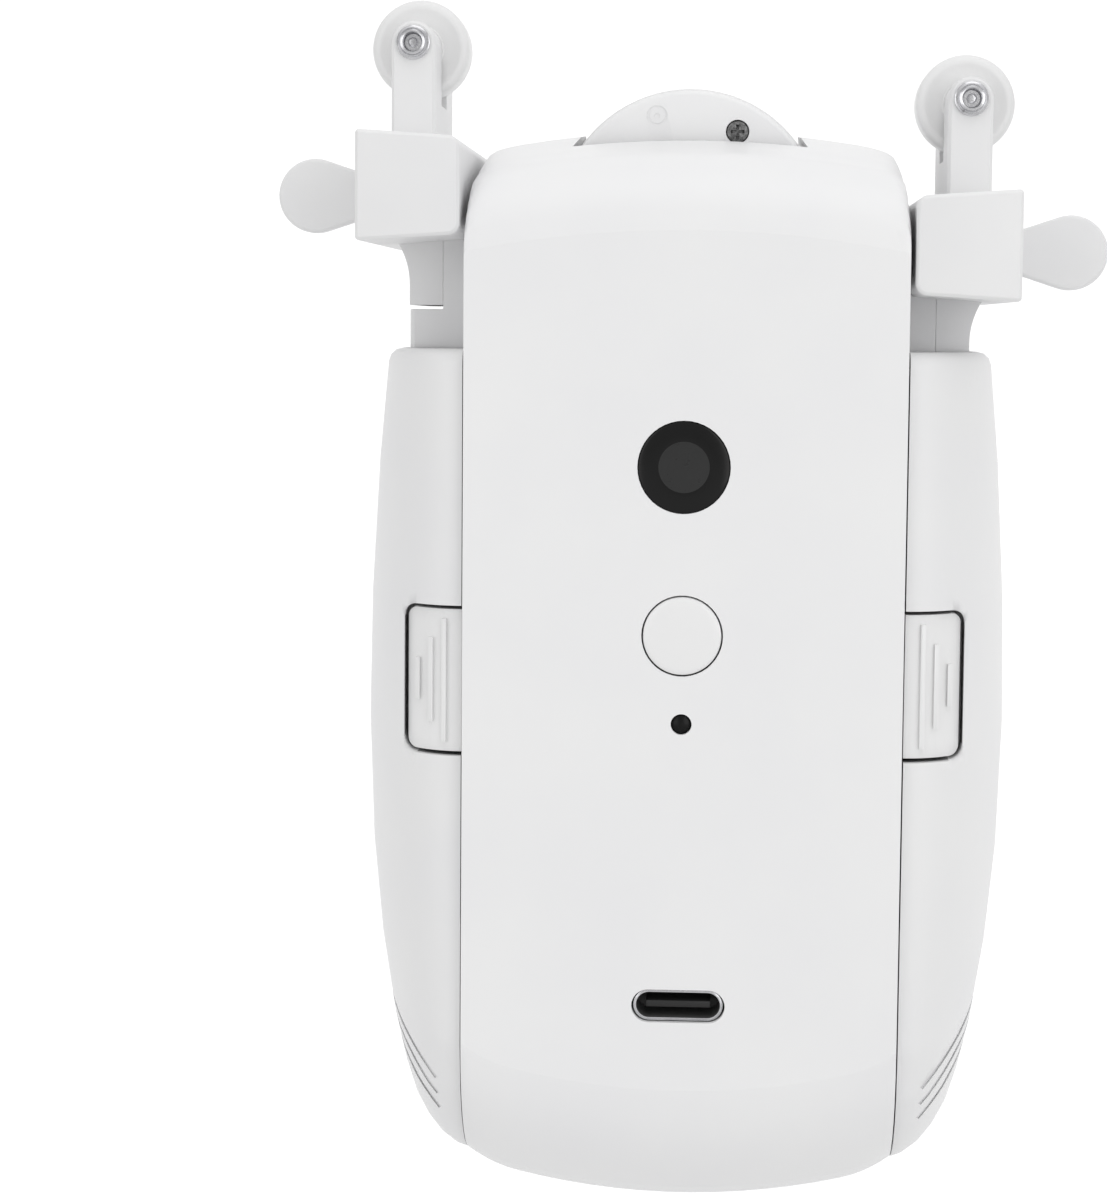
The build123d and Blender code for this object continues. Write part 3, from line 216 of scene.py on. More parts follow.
@dataclass(frozen=True)
class Finish:
    """A real material as its surface was made, with the sizes of its grain and of its soft changes of tone.

    Finishes with a crevice reach also get painted shade in narrow gaps.
    """

    # How the noises are read: the part of their range that counts, and the detail and roughness of each.
    noise_span: ClassVar[Point] = (0.3, 0.7)
    patch_noise: ClassVar[Point] = (3.0, 0.5)
    grain_noise: ClassVar[Point] = (4.0, 0.6)
    bump_strength: ClassVar[float] = 0.5
    # How open a spot is where painted crevice shade is darkest and where it ends, and how much colour is left there.
    crevice_open: ClassVar[Point] = (0.08, 0.3)
    crevice_light: ClassVar[float] = 0.03
    crevice_samples: ClassVar[int] = 8

    name: str
    colour: str
    shade: str
    roughness: float
    metallic: float = 0.0
    ior: float = 1.5
    coat: float = 0.0
    specular: float = 0.5
    crevice_mm: float = 0.0
    crevice_span_mm: Point = (-1000.0, 1000.0)
    grain_mm: float = 0.25
    grain_depth_mm: float = 0.004
    patch_mm: float = 14.0
    gloss_spread: float = 0.06
    stretch: Triple = (1.0, 1.0, 1.0)

    def noise(self, tree: Tree, size_mm: float, kind: Point, place: Socket) -> Term:
        """Adds a noise with lumps of the given size; its kind is its detail and roughness."""
        settings = {"Scale": 1 / (size_mm * MM), "Detail": kind[0], "Roughness": kind[1]}
        return Term(tree, add_node(tree, "ShaderNodeTexNoise", settings, {"Vector": place}).outputs["Fac"])

    def with_crevices(self, tree: Tree, place: Socket, colour: Socket) -> Socket:
        """Paints shade into narrow gaps, which swallow light, by darkening their colour.

        Only gaps between the finish's two heights get the painted shade, so that the wheel's slot and the shallow
        grooves of a grip keep their tone.

        Args:
            tree: The material's node tree.
            place: The object's coordinates.
            colour: The colour outside the gaps.

        Returns:
            The colour with painted shade in the gaps.
        """
        hidden = add_node(
            tree, "ShaderNodeAmbientOcclusion", {"samples": self.crevice_samples, "Distance": self.crevice_mm * MM}
        )
        depth = Term(tree, hidden.outputs["AO"]).ramp(*self.crevice_open, self.crevice_light, 1.0)
        height = axes(tree, place)[2] * (1 / MM)
        low, high = self.crevice_span_mm
        inside = (height - low).then("MINIMUM", height * -1.0 + high).then("MAXIMUM", 0.0).then("MINIMUM", 1.0)
        shaded = add_node(
            tree, "ShaderNodeMix", {"data_type": "RGBA", "blend_type": "MULTIPLY"}, {"Factor": inside.socket}
        )
        tree.links.new(colour, shaded.inputs[MIX_FIRST])
        tree.links.new(depth.socket, shaded.inputs[MIX_SECOND])
        return shaded.outputs[MIX_RESULT]

    def material(self) -> bpy.types.Material:
        """Makes the node material of this finish, once.

        Returns:
            The material.
        """
        found = bpy.data.materials.get(self.name)
        if found:
            return found
        made = bpy.data.materials.new(self.name)
        made.use_nodes = True
        tree = made.node_tree
        tree.nodes.clear()
        place = add_node(tree, "ShaderNodeTexCoord").outputs["Object"]
        stretched = add_node(tree, "ShaderNodeMapping", {"Scale": self.stretch}, {"Vector": place})
        # Slow drift of tone, as a moulded or plated surface has under soft light.
        patches = self.noise(tree, self.patch_mm, self.patch_noise, place)
        tone = add_node(tree, "ShaderNodeValToRGB", None, {"Fac": patches.socket})
        for stop, position, code in zip(tone.color_ramp.elements, self.noise_span, (self.shade, self.colour)):
            stop.position = position
            stop.color = linear(code)
        colour = tone.outputs["Color"]
        # Painted shade: ambient occlusion darkens the colour in narrow gaps.
        if self.crevice_mm:
            colour = self.with_crevices(tree, place, colour)
        # Fine grain that breaks up the gloss and carries the bump.
        grain = self.noise(tree, self.grain_mm, self.grain_noise, stretched.outputs["Vector"])
        gloss = grain.ramp(*self.noise_span, self.roughness - self.gloss_spread, self.roughness + self.gloss_spread)
        bump = add_node(
            tree, "ShaderNodeBump", {"Strength": self.bump_strength, "Distance": self.grain_depth_mm * MM},
            {"Height": grain.socket},
        )
        shader = add_node(
            tree, "ShaderNodeBsdfPrincipled",
            {
                "Metallic": self.metallic, "IOR": self.ior, "Coat Weight": self.coat,
                "Specular IOR Level": self.specular,
            },
            {"Base Color": colour, "Roughness": gloss.socket, "Normal": bump.outputs["Normal"]},
        )
        add_node(tree, "ShaderNodeOutputMaterial", None, {"Surface": shader.outputs["BSDF"]})
        return made


# Injection-moulded white ABS with a fine spark-eroded texture: an even, slightly cool white with a soft sheen.
# Narrow gaps below z -6 mm get painted shade.
ABS_SHELL = Finish(
    "ABS_moulded_satin_white", "#EBEBEB", "#E8E8E9", 0.42, ior=1.53, crevice_mm=1.2, crevice_span_mm=(-1000.0, -6.0),
    grain_mm=0.18,
)
# The same ABS out of the wings' mould, a touch less bright, with a coarser texture.
# Narrow gaps above z -84 mm get painted shade, which spares the grip's grooves.
ABS_WING = Finish(
    "ABS_moulded_wing_white", "#E9E9E9", "#E6E6E7", 0.46, ior=1.53, crevice_mm=1.2, crevice_span_mm=(-84.0, 1000.0),
    grain_mm=0.22,
)
# Glass-filled nylon of the arms: a hair greyer, with a drier surface.
NYLON_ARM = Finish("nylon_glass_filled_white", "#E7E7E7", "#E3E3E4", 0.5, ior=1.53, grain_mm=0.3, grain_depth_mm=0.006)
# Polished ABS of the buttons: the same white with a closer gloss.
ABS_BUTTON = Finish("ABS_moulded_button_white", "#EBEBEB", "#E8E8E8", 0.34, ior=1.53, grain_mm=0.15)
# Plain grey ABS of the parts inside: matt, with the tool's marks left on it.
ABS_INNER = Finish("ABS_moulded_inner_grey", "#A6A7A9", "#9A9B9D", 0.62, ior=1.53, grain_mm=0.5, grain_depth_mm=0.01)
# Acetal of gears and rollers: dense and waxy, with a soft light on its edges.
ACETAL = Finish("acetal_natural_white", "#E9E9E9", "#E4E4E4", 0.36, ior=1.48, grain_mm=0.4)
# Silicone rubber of the tyre: milky, without shine.
SILICONE = Finish("silicone_rubber_white", "#E8E8E8", "#E2E2E2", 0.72, ior=1.41, grain_mm=0.35, grain_depth_mm=0.01)
# Tinted acrylic of the sensor window: black in its depth under a polished face.
ACRYLIC_BLACK = Finish(
    "acrylic_tinted_black", "#1A1A1A", "#171717", 0.16, ior=1.49, specular=0.2, grain_mm=1.2, grain_depth_mm=0.001,
    gloss_spread=0.03,
)
# Smoked polycarbonate of the lens and lamp: a shade lighter, with a duller face.
LENS_SMOKE = Finish(
    "polycarbonate_smoked", "#303030", "#2B2B2B", 0.3, ior=1.58, specular=0.2, grain_mm=1.0, grain_depth_mm=0.001,
    gloss_spread=0.04,
)
LAMP_SMOKE = Finish(
    "polycarbonate_lamp_dark", "#0F0F0F", "#0C0C0C", 0.28, ior=1.58, specular=0.15, grain_mm=1.0, grain_depth_mm=0.001,
)
# Bright nickel over turned steel, as on rivets: clean reflections broken by fine turning lines.
# Narrow gaps and grooves in it get painted shade.
NICKEL = Finish(
    "steel_nickel_plated", "#DCDCDE", "#C4C4C7", 0.22, metallic=1.0, crevice_mm=0.6, grain_mm=0.12,
    grain_depth_mm=0.002, patch_mm=2.0, gloss_spread=0.08,
)
# Drawn steel of the motor can: satin with lines along its length.
STEEL_DRAWN = Finish(
    "steel_drawn_satin", "#B4B5B8", "#9FA0A3", 0.38, metallic=1.0, grain_mm=0.6, grain_depth_mm=0.004,
    stretch=(1.0, 0.08, 1.0),
)
# Black oxide on the screws: almost black with a dull metal light on the edges.
BLACK_OXIDE = Finish(
    "steel_black_oxide", "#3A3A3C", "#2B2B2D", 0.36, metallic=0.85, grain_mm=0.15, grain_depth_mm=0.003, patch_mm=1.0
)
# Turned brass of bushes and inserts.
BRASS = Finish("brass_turned", "#C8A55A", "#B28E45", 0.3, metallic=1.0, grain_mm=0.15, patch_mm=3.0)
# Solder mask over glass-epoxy board: deep green with a wet gloss.
SOLDER_MASK = Finish("solder_mask_green", "#1E6B3C", "#175731", 0.3, coat=0.4, grain_mm=0.8, patch_mm=6.0)
# Moulded epoxy of chips and switches: black and dry.
EPOXY_BLACK = Finish("epoxy_moulded_black", "#1B1B1C", "#151516", 0.5, grain_mm=0.2)
# Painted shade for the dark depth of the charging socket: its inner walls and floor are coloured a dark grey.
PORT_PAINTED_SHADE = Finish("LCP_moulded_liner", "#5C5C5C", "#525252", 0.55, grain_mm=0.2)
# Black LCP of the socket's tongue, polished a little by the plug.
LCP_TONGUE = Finish("LCP_moulded_tongue", "#303030", "#292929", 0.45, specular=0.3, grain_mm=0.2)
# Phosphated steel of the wheel's screws: crystals make a grey speckle.
# The screws' cross recesses and narrow gaps get painted shade.
PHOSPHATE = Finish(
    "steel_phosphated_grey", "#8E8E8E", "#4A4A4A", 0.5, metallic=0.8, crevice_mm=0.5, grain_mm=0.1, patch_mm=0.22
)
# Shrink wrap over the cells: blue film pulled tight.
SHRINK_WRAP = Finish("PVC_shrink_wrap_blue", "#2B5A96", "#234B80", 0.28, coat=0.3, grain_mm=1.5, patch_mm=9.0)


def deselect() -> None:
    """Leaves nothing selected, in object mode."""
    if bpy.context.object and bpy.context.object.mode != "OBJECT":
        bpy.ops.object.mode_set(mode="OBJECT")
    bpy.ops.object.select_all(action="DESELECT")


def choose(piece: Piece) -> None:
    """Selects one piece alone and makes it the active one.

    Args:
        piece: The piece.
    """
    deselect()
    piece.select_set(True)
    bpy.context.view_layer.objects.active = piece


@contextmanager
def editing(piece: Piece) -> Iterator[None]:
    """Works on a piece in edit mode with all of it selected, and comes back to object mode.

    Args:
        piece: The piece.

    Yields:
        Nothing, while the piece is in edit mode.
    """
    choose(piece)
    bpy.ops.object.mode_set(mode="EDIT")
    bpy.ops.mesh.select_all(action="SELECT")
    yield
    bpy.ops.object.mode_set(mode="OBJECT")


def chain(name: str, points: Sequence[Triple], closed: bool) -> Piece:
    """Lays out a chain of edges as a new piece at the origin.

    Args:
        name: The piece's name.
        points: The chain's points in order, in metres.
        closed: Whether the last point joins the first.

    Returns:
        The piece, all edges and no faces.
    """
    edges = [(n, n + 1) for n in range(len(points) - 1)]
    if closed:
        edges.append((len(points) - 1, 0))
    mesh = bpy.data.meshes.new(name)
    mesh.from_pydata(list(points), edges, [])
    piece = bpy.data.objects.new(name, mesh)
    bpy.context.scene.collection.objects.link(piece)
    return piece


def smooth(piece: Piece) -> None:
    """Shades a piece smooth and keeps its sharp edges."""
    choose(piece)
    bpy.ops.object.shade_smooth_by_angle(angle=radians(SHARP_ANGLE))


def turned(name: str, centre: Point, profile: Sequence[Point], steps: int, axle: Axle = Axle.ALONG_Y) -> Piece:
    """Turns a profile about a line, as on a lathe.

    Args:
        name: The piece's name.
        centre: Where the line stands.
        profile: Points (radius, place along the line). A profile with both ends on the line makes a solid, and any
            other is closed into a ring.
        steps: How many steps make the full turn.
        axle: Which way the line runs.

    Returns:
        The turned piece, closed and smooth.
    """
    ring = profile[0][0] > 0 or profile[-1][0] > 0
    piece = chain(name, [axle.place(radius, along, centre) for radius, along in profile], ring)
    with editing(piece):
        bpy.ops.mesh.spin(steps=steps, angle=2 * pi, center=axle.place(0.0, 0.0, centre), axis=axle.value)
        bpy.ops.mesh.select_all(action="SELECT")
        bpy.ops.mesh.remove_doubles(threshold=MERGE)
        bpy.ops.mesh.normals_make_consistent(inside=False)
    smooth(piece)
    return piece


def add_rounding(piece: Piece, edge: float, steps: int, angle: float) -> bpy.types.BevelModifier:
    """Hangs a rounding of the sharp edges on a piece.

    Args:
        piece: The piece.
        edge: The radius of the rounded edges.
        steps: How many steps make each rounding.
        angle: The angle between faces, in degrees, from which an edge is rounded.

    Returns:
        The modifier.
    """
    rounding = piece.modifiers.new("rounded edges", "BEVEL")
    rounding.width = edge * MM
    rounding.segments = steps
    rounding.limit_method = "ANGLE"
    rounding.angle_limit = radians(angle)
    return rounding


def slab(name: str, outline: Sequence[Point], front: float, back: float, edge: float = 0.0, steps: int = 1) -> Piece:
    """Cuts a slab to an outline seen from the front and rounds its edges.

    Args:
        name: The piece's name.
        outline: Points (x, z) in order.
        front: The front face's Y.
        back: The back face's Y.
        edge: The radius of the rounded edges, or 0 for sharp ones.
        steps: How many steps make each rounding.

    Returns:
        The closed slab.
    """
    piece = chain(name, [(x * MM, front * MM, z * MM) for x, z in outline], True)
    with editing(piece):
        bpy.ops.mesh.edge_face_add()
        bpy.ops.mesh.extrude_region_move(TRANSFORM_OT_translate={"value": (0.0, (back - front) * MM, 0.0)})
        bpy.ops.mesh.select_all(action="SELECT")
        bpy.ops.mesh.normals_make_consistent(inside=False)
    if edge:
        add_rounding(piece, edge, steps, SLAB_EDGE_ANGLE)
        apply_all(piece)
    smooth(piece)
    return piece


def apply_all(piece: Piece) -> None:
    """Applies every modifier of a piece, in order.

    Args:
        piece: The piece.
    """
    choose(piece)
    for name in [modifier.name for modifier in piece.modifiers]:
        bpy.ops.object.modifier_apply(modifier=name)


def cut_out(piece: Piece, cutter: Piece) -> None:
    """Cuts one piece's form out of another and takes the cutter away.

    Args:
        piece: What is cut.
        cutter: The form that is cut out.
    """
    cutting = piece.modifiers.new("cut", "BOOLEAN")
    cutting.operation = "DIFFERENCE"
    cutting.object = cutter
    cutting.solver = "EXACT"
    apply_all(piece)
    bpy.data.objects.remove(cutter)
    smooth(piece)


def join(pieces: Sequence[Piece], name: str) -> Piece:
    """Joins pieces into the first one.

    Args:
        pieces: What is joined.
        name: The name of the result.

    Returns:
        The one piece that is left.
    """
    choose(pieces[0])
    for piece in pieces[1:]:
        piece.select_set(True)
    bpy.ops.object.join()
    joined = bpy.context.object
    joined.name = name
    return joined


def fit(piece: Piece, finish: Finish, body: str, slot: str, *nodes: str) -> None:
    """Gives a finished piece its finish and its body, and hides the nodes that it stands for.

    Args:
        piece: The finished piece.
        finish: Its finish.
        body: The CAD body that it rides on.
        slot: The record's material slot, not used.
        nodes: The CAD nodes that it replaces.
    """
    piece.data.materials.clear()
    piece.data.materials.append(finish.material())
    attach(piece, body)
    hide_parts(*nodes)
    log.info("made %s, %d faces, on %s", piece.name, len(piece.data.polygons), body)


def spread(start: float, end: float, steps: int) -> list[float]:
    """Lays numbers evenly from start to end, both included, with the given steps between them."""
    return [start + (end - start) * n / steps for n in range(steps + 1)]


def arc(centre: Point, radius: float, angles: Sequence[float]) -> list[Point]:
    """Lays points along an arc about a centre, at the given angles in degrees."""
    turns = [radians(angle) for angle in angles]
    return [(centre[0] + radius * cos(turn), centre[1] + radius * sin(turn)) for turn in turns]


def stadium(centre: Point, width: float, height: float, steps: int = 16) -> list[Point]:
    """Draws a slot with round ends.

    Args:
        centre: Its middle, (x, z).
        width: Its whole width, along X.
        height: Its whole height, along Z.
        steps: How many steps make each round end.

    Returns:
        The outline, anticlockwise seen with X to the right and Z up.
    """
    radius = height / 2
    reach = width / 2 - radius
    right = arc((centre[0] + reach, centre[1]), radius, spread(-90, 90, steps))
    left = arc((centre[0] - reach, centre[1]), radius, spread(90, 270, steps))
    return right + left


def rectangle(centre: Point, half_width: float, half_height: float) -> list[Point]:
    """Draws a rectangle about a centre, anticlockwise seen with X to the right and Z up."""
    signs = ((-1, -1), (1, -1), (1, 1), (-1, 1))
    return [(centre[0] + across * half_width, centre[1] + up * half_height) for across, up in signs]


@dataclass(frozen=True)
class FullCorners:
    """Squares up the housing's two top corners and lifts the crest between them, as the photograph shows them."""

    half_width: float = 21.6
    crown_z: float = -4.4
    crown_radius: float = 110.0
    depth_radius: float = 65.0
    level_depth: float = 18.0
    front_round: float = 8.0
    corner_radius: float = 5.5
    crisp_radius: float = 1.0
    # How far in and down the move reaches, as shares of the rounding's radius.
    reach_share: float = 0.79
    drop_share: float = 0.53
    squareness: float = 4.5
    crest_lift: float = 0.65
    crest_depth: float = 11.0
    # The least that the corner's form is divided by, where both its numbers are 0.
    least: float = 0.001

    def group(self) -> Tree:
        """Writes the move of the corners as a tree of geometry nodes, once.

        Returns:
            The tree.
        """
        name = "fuller_top_corners"
        found = bpy.data.node_groups.get(name)
        if found:
            return found
        tree = bpy.data.node_groups.new(name, "GeometryNodeTree")
        for way in ("INPUT", "OUTPUT"):
            tree.interface.new_socket("Geometry", in_out=way, socket_type="NodeSocketGeometry")
        came = add_node(tree, "NodeGroupInput")
        place = add_node(tree, "GeometryNodeInputPosition")
        x, y, z = (part * (1 / MM) for part in axes(tree, place.outputs["Position"]))
        across, depth = x.then("ABSOLUTE"), y.then("ABSOLUTE")
        # How far the crown has fallen here, and how round the moulded corner is.
        into = (depth - self.level_depth).then("MAXIMUM", 0.0).then("MINIMUM", self.front_round)
        fallen = into.sag(self.front_round)
        fall = fallen + depth.then("MINIMUM", self.level_depth).sag(self.depth_radius)
        rounding = fallen * ((self.crisp_radius - self.corner_radius) / self.front_round) + self.corner_radius
        crest = (fall + across.then("MINIMUM", self.half_width).sag(self.crown_radius)) * -1.0 + self.crown_z
        side_fall = self.crown_radius - (self.crown_radius**2 - self.half_width**2) ** 0.5
        # The rounding as a unit square: 1 across at the side plane and 1 up at the crest.
        wide = rounding * self.reach_share
        low = fall * -1.0 - rounding * self.drop_share + (self.crown_z - side_fall)
        tall = crest - low
        u = ((across - self.half_width) / wide + 1.0).then("MAXIMUM", 0.0)
        v = ((z - low) / tall).then("MAXIMUM", 0.0)
        square = (u**self.squareness + v**self.squareness) ** (1 / self.squareness)
        grown = (u * u + v * v) ** 0.5 / square.then("MAXIMUM", self.least) - 1.0
        lift = (depth / self.crest_depth) ** 2.0 * -1.0 + 1.0
        lift = lift.then("MAXIMUM", 0.0) * v.then("MINIMUM", 1.0) * self.crest_lift
        moved = add_node(
            tree, "ShaderNodeCombineXYZ", None,
            {
                "X": ((x + grown * u * wide * x.then("SIGN")) * MM).socket,
                "Y": (y * MM).socket,
                "Z": ((z + grown * v * tall + lift) * MM).socket,
            },
        )
        shaped = add_node(
            tree, "GeometryNodeSetPosition", None,
            {"Geometry": came.outputs["Geometry"], "Position": moved.outputs["Vector"]},
        )
        add_node(tree, "NodeGroupOutput", None, {"Geometry": shaped.outputs["Geometry"]})
        return tree

    def shape(self, node: Piece) -> None:
        """Hangs the move on a shell of the CAD."""
        node.modifiers.new("fuller corners", "NODES").node_group = self.group()


def both(name: str) -> tuple[str, str]:
    """Gives the names of a node that each arm has."""
    return (f"left_{name}", f"right_{name}")


@dataclass
class CadSurfaces:
    """The CAD nodes that stay in view: each gets its finish, merged facets and broken edges."""

    # The finish, the radius of the broken edges and the nodes.
    plan: tuple[tuple[Finish, float, tuple[str, ...]], ...] = (
        (ABS_SHELL, 0.12, SHELLS),
        (ABS_WING, 0.0, both("wing_cover")),
        (ABS_BUTTON, 0.1, both("release_latch")),
        (ABS_INNER, 0.1, both("arm_guide")),
        (ABS_INNER, 0.2, ("battery_holder", "wheel_core")),
        (NYLON_ARM, 0.0, both("roller_fork")),
        (NYLON_ARM, 0.15, both("arm_slider")),
        (NYLON_ARM, 0.25, both("arm_head")),
        (ACETAL, 0.0, ("axle_gear", "idler_gear")),
        (BRASS, 0.0, ("motor_pinion",)),
        (BRASS, 0.1, ("axle_bushes", *both("clamp_nut"))),
        (NICKEL, 0.0, ("board_screws", "motor_screws", *both("arm_screws"))),
        (NICKEL, 0.0, (*both("arm_spring"), *both("latch_springs"))),
        (NICKEL, 0.1, ("motor_bracket", "idler_pin", "wing_screws")),
        (NICKEL, 0.15, ("wheel_axle",)),
        (STEEL_DRAWN, 0.0, ("motor_can",)),
        (STEEL_DRAWN, 0.3, ("motor_gearbox",)),
        (SOLDER_MASK, 0.0, ("main_board",)),
        (EPOXY_BLACK, 0.1, ("tact_switch", "board_chips")),
        (SHRINK_WRAP, 0.5, ("battery_cells",)),
    )
    corners: FullCorners = FullCorners()
    flat_angle: float = 0.2
    edge_steps: int = 2

    def dress(self, name: str, finish: Finish, edge: float) -> None:
        """Puts the finish on a node's material slots and softens the node by modifiers alone.

        Args:
            name: The node.
            finish: Its finish.
            edge: The radius of its broken edges, or 0 for sharp ones.
        """
        node = frame["nodes"][name]
        for slot in node.material_slots:
            slot.material = finish.material()
        weld = node.modifiers.new("merge facets", "WELD")
        weld.merge_threshold = MERGE
        if name in SHELLS:
            self.corners.shape(node)
        flat = node.modifiers.new("level flats", "DECIMATE")
        flat.decimate_type = "DISSOLVE"
        flat.angle_limit = radians(self.flat_angle)
        if edge:
            add_rounding(node, edge, self.edge_steps, SHARP_ANGLE).harden_normals = True
        log.info("dressed %s in %s", name, finish.name)

    def build(self) -> None:
        """Dresses all of them."""
        for finish, edge, names in self.plan:
            for name in names:
                self.dress(name, finish, edge)


@dataclass(frozen=True)
class TurnedFitting:
    """A round piece in the front face, with its outline as (radius, depth below the face)."""

    name: str
    node: str
    z: float
    outline: tuple[Point, ...]
    steps: int
    finish: Finish
    body: str
    slot: str

    def build(self, face: float) -> None:
        """Builds the piece.

        Args:
            face: The Y of the front face.
        """
        profile = [(radius, face + depth) for radius, depth in self.outline]
        piece = turned(self.name, (0.0, self.z), profile, self.steps)
        fit(piece, self.finish, self.body, self.slot, self.node)


TURNED_FITTINGS = (
    # The round black window, with a step round the lens.
    TurnedFitting(
        "sensor_window_ring", "sensor_window", -37.87,
        ((2.5, 1.4), (2.5, 0.1), (4.25, 0.05), (4.42, 0.1), (4.5, 0.25), (4.5, 1.4)),
        96, ACRYLIC_BLACK, "housing", "window_black",
    ),
    # The lens, a little below the window.
    TurnedFitting(
        "sensor_lens_dome", "sensor_lens", -37.87,
        ((0.0, 0.06), (1.2, 0.07), (2.1, 0.09), (2.5, 0.1), (2.5, 1.4), (0.0, 1.4)),
        64, LENS_SMOKE, "housing", "lens_dark",
    ),
    # The set button, a cap with a softened rim on its flange.
    TurnedFitting(
        "set_button_cap", "set_button", -54.38,
        (
            (0.0, 0.02), (3.25, 0.02), (3.65, 0.06), (3.8, 0.14), (3.85, 0.3), (3.85, 2.3), (4.9, 2.3), (5.0, 2.4),
            (5.0, 3.1), (0.0, 3.1),
        ),
        96, ABS_BUTTON, "button", "button_white",
    ),
    # The small dark light pipe, set back in its hole with a domed end.
    TurnedFitting(
        "lamp_light_pipe", "lamp_lens", -63.1,
        ((0.0, 0.3), (0.5, 0.34), (0.85, 0.46), (0.98, 0.65), (0.98, 4.4), (0.0, 4.4)),
        40, LAMP_SMOKE, "housing", "lens_dark",
    ),
)


@dataclass
class FrontFittings:
    """What is set in the front face: the turned fittings and the charging socket with its tongue."""

    face: float = -26.0
    port_z: float = -91.25
    port_front: float = -25.4
    port_back: float = -20.6
    port_width: float = 8.94
    port_height: float = 3.16
    port_wall: float = 0.3
    port_edge: float = 0.08
    lip: float = 0.12
    tongue_width: float = 6.4
    tongue_thickness: float = 0.7
    tongue_front: float = -24.9
    tongue_back: float = -20.9
    tongue_edge: float = 0.12
    edge_steps: int = 2

    def port(self) -> None:
        """Builds the charging socket: drawn shell with a rolled lip, painted shade inside it, and tongue."""
        centre = (0.0, self.port_z)
        shell = slab(
            "port_metal_shell", stadium(centre, self.port_width, self.port_height), self.port_front, self.port_back,
            self.port_edge, self.edge_steps,
        )
        inner = stadium(centre, self.port_width - 2 * self.port_wall, self.port_height - 2 * self.port_wall)
        cut_out(shell, slab("port_mouth", inner, self.port_front - OVERSHOOT, self.port_back - self.port_wall))
        fit(shell, NICKEL, "housing", "steel", "port_shell")
        # Painted shade: the shell's inward faces behind the lip take the dark grey second material.
        shell.data.materials.append(PORT_PAINTED_SHADE.material())
        front, back = self.port_front + self.lip, self.port_back - self.port_wall / 2
        for face in shell.data.polygons:
            reach = Vector((face.center.x, 0.0, face.center.z - self.port_z * MM))
            inward = face.normal.dot(reach) <= 0
            if inward and front * MM < face.center.y < back * MM:
                face.material_index = 1
        outline = rectangle(centre, self.tongue_width / 2, self.tongue_thickness / 2)
        tongue = slab(
            "port_tongue_blade", outline, self.tongue_front, self.tongue_back, self.tongue_edge, self.edge_steps
        )
        fit(tongue, LCP_TONGUE, "housing", "chip_black", "port_tongue")

    def build(self) -> None:
        """Builds all of it."""
        for fitting in TURNED_FITTINGS:
            fitting.build(self.face)
        self.port()


@dataclass(frozen=True)
class Screw:
    """A small screw along Y: a rounded head with a cross recess, and its shank."""

    radius: float
    head_radius: float
    head_height: float
    recess: float
    crown_share: float = 0.7
    shoulder_share: float = 0.93
    shoulder_drop: float = 0.08
    rim_drop: float = 0.25
    tip_share: float = 0.5
    tip_cone: float = 0.4
    recess_share: float = 0.62
    recess_depth: float = 0.45
    steps: int = 40

    def build(self, name: str, centre: Point, seat: float, tip: float) -> Piece:
        """Makes the screw.

        Args:
            name: The piece's name.
            centre: Its axis, (x, z).
            seat: The Y of the face under its head.
            tip: The Y of its tip.

        Returns:
            The screw.
        """
        way = -1.0 if seat < tip else 1.0
        top = seat + way * self.head_height
        head = self.head_radius
        profile = [
            (0.0, top), (head * self.crown_share, top), (head * self.shoulder_share, top - way * self.shoulder_drop),
            (head, top - way * self.rim_drop), (head, seat), (self.radius, seat),
            (self.radius, tip + way * self.tip_cone), (self.radius * self.tip_share, tip), (0.0, tip),
        ]
        body = turned(name, centre, profile, self.steps)
        reach = head * self.recess_share
        front, back = sorted((top + way * OVERSHOOT, top - way * self.recess_depth))
        for along, across in ((reach, self.recess), (self.recess, reach)):
            cut_out(body, slab(f"{name}_recess", rectangle(centre, along, across), front, back))
        return body


@dataclass(frozen=True)
class Hole:
    """A round or ring-shaped hole that is sunk into the wheel's plates, with the steps of its full turn."""

    name: str
    inner: float
    outer: float
    depth: float
    steps: int


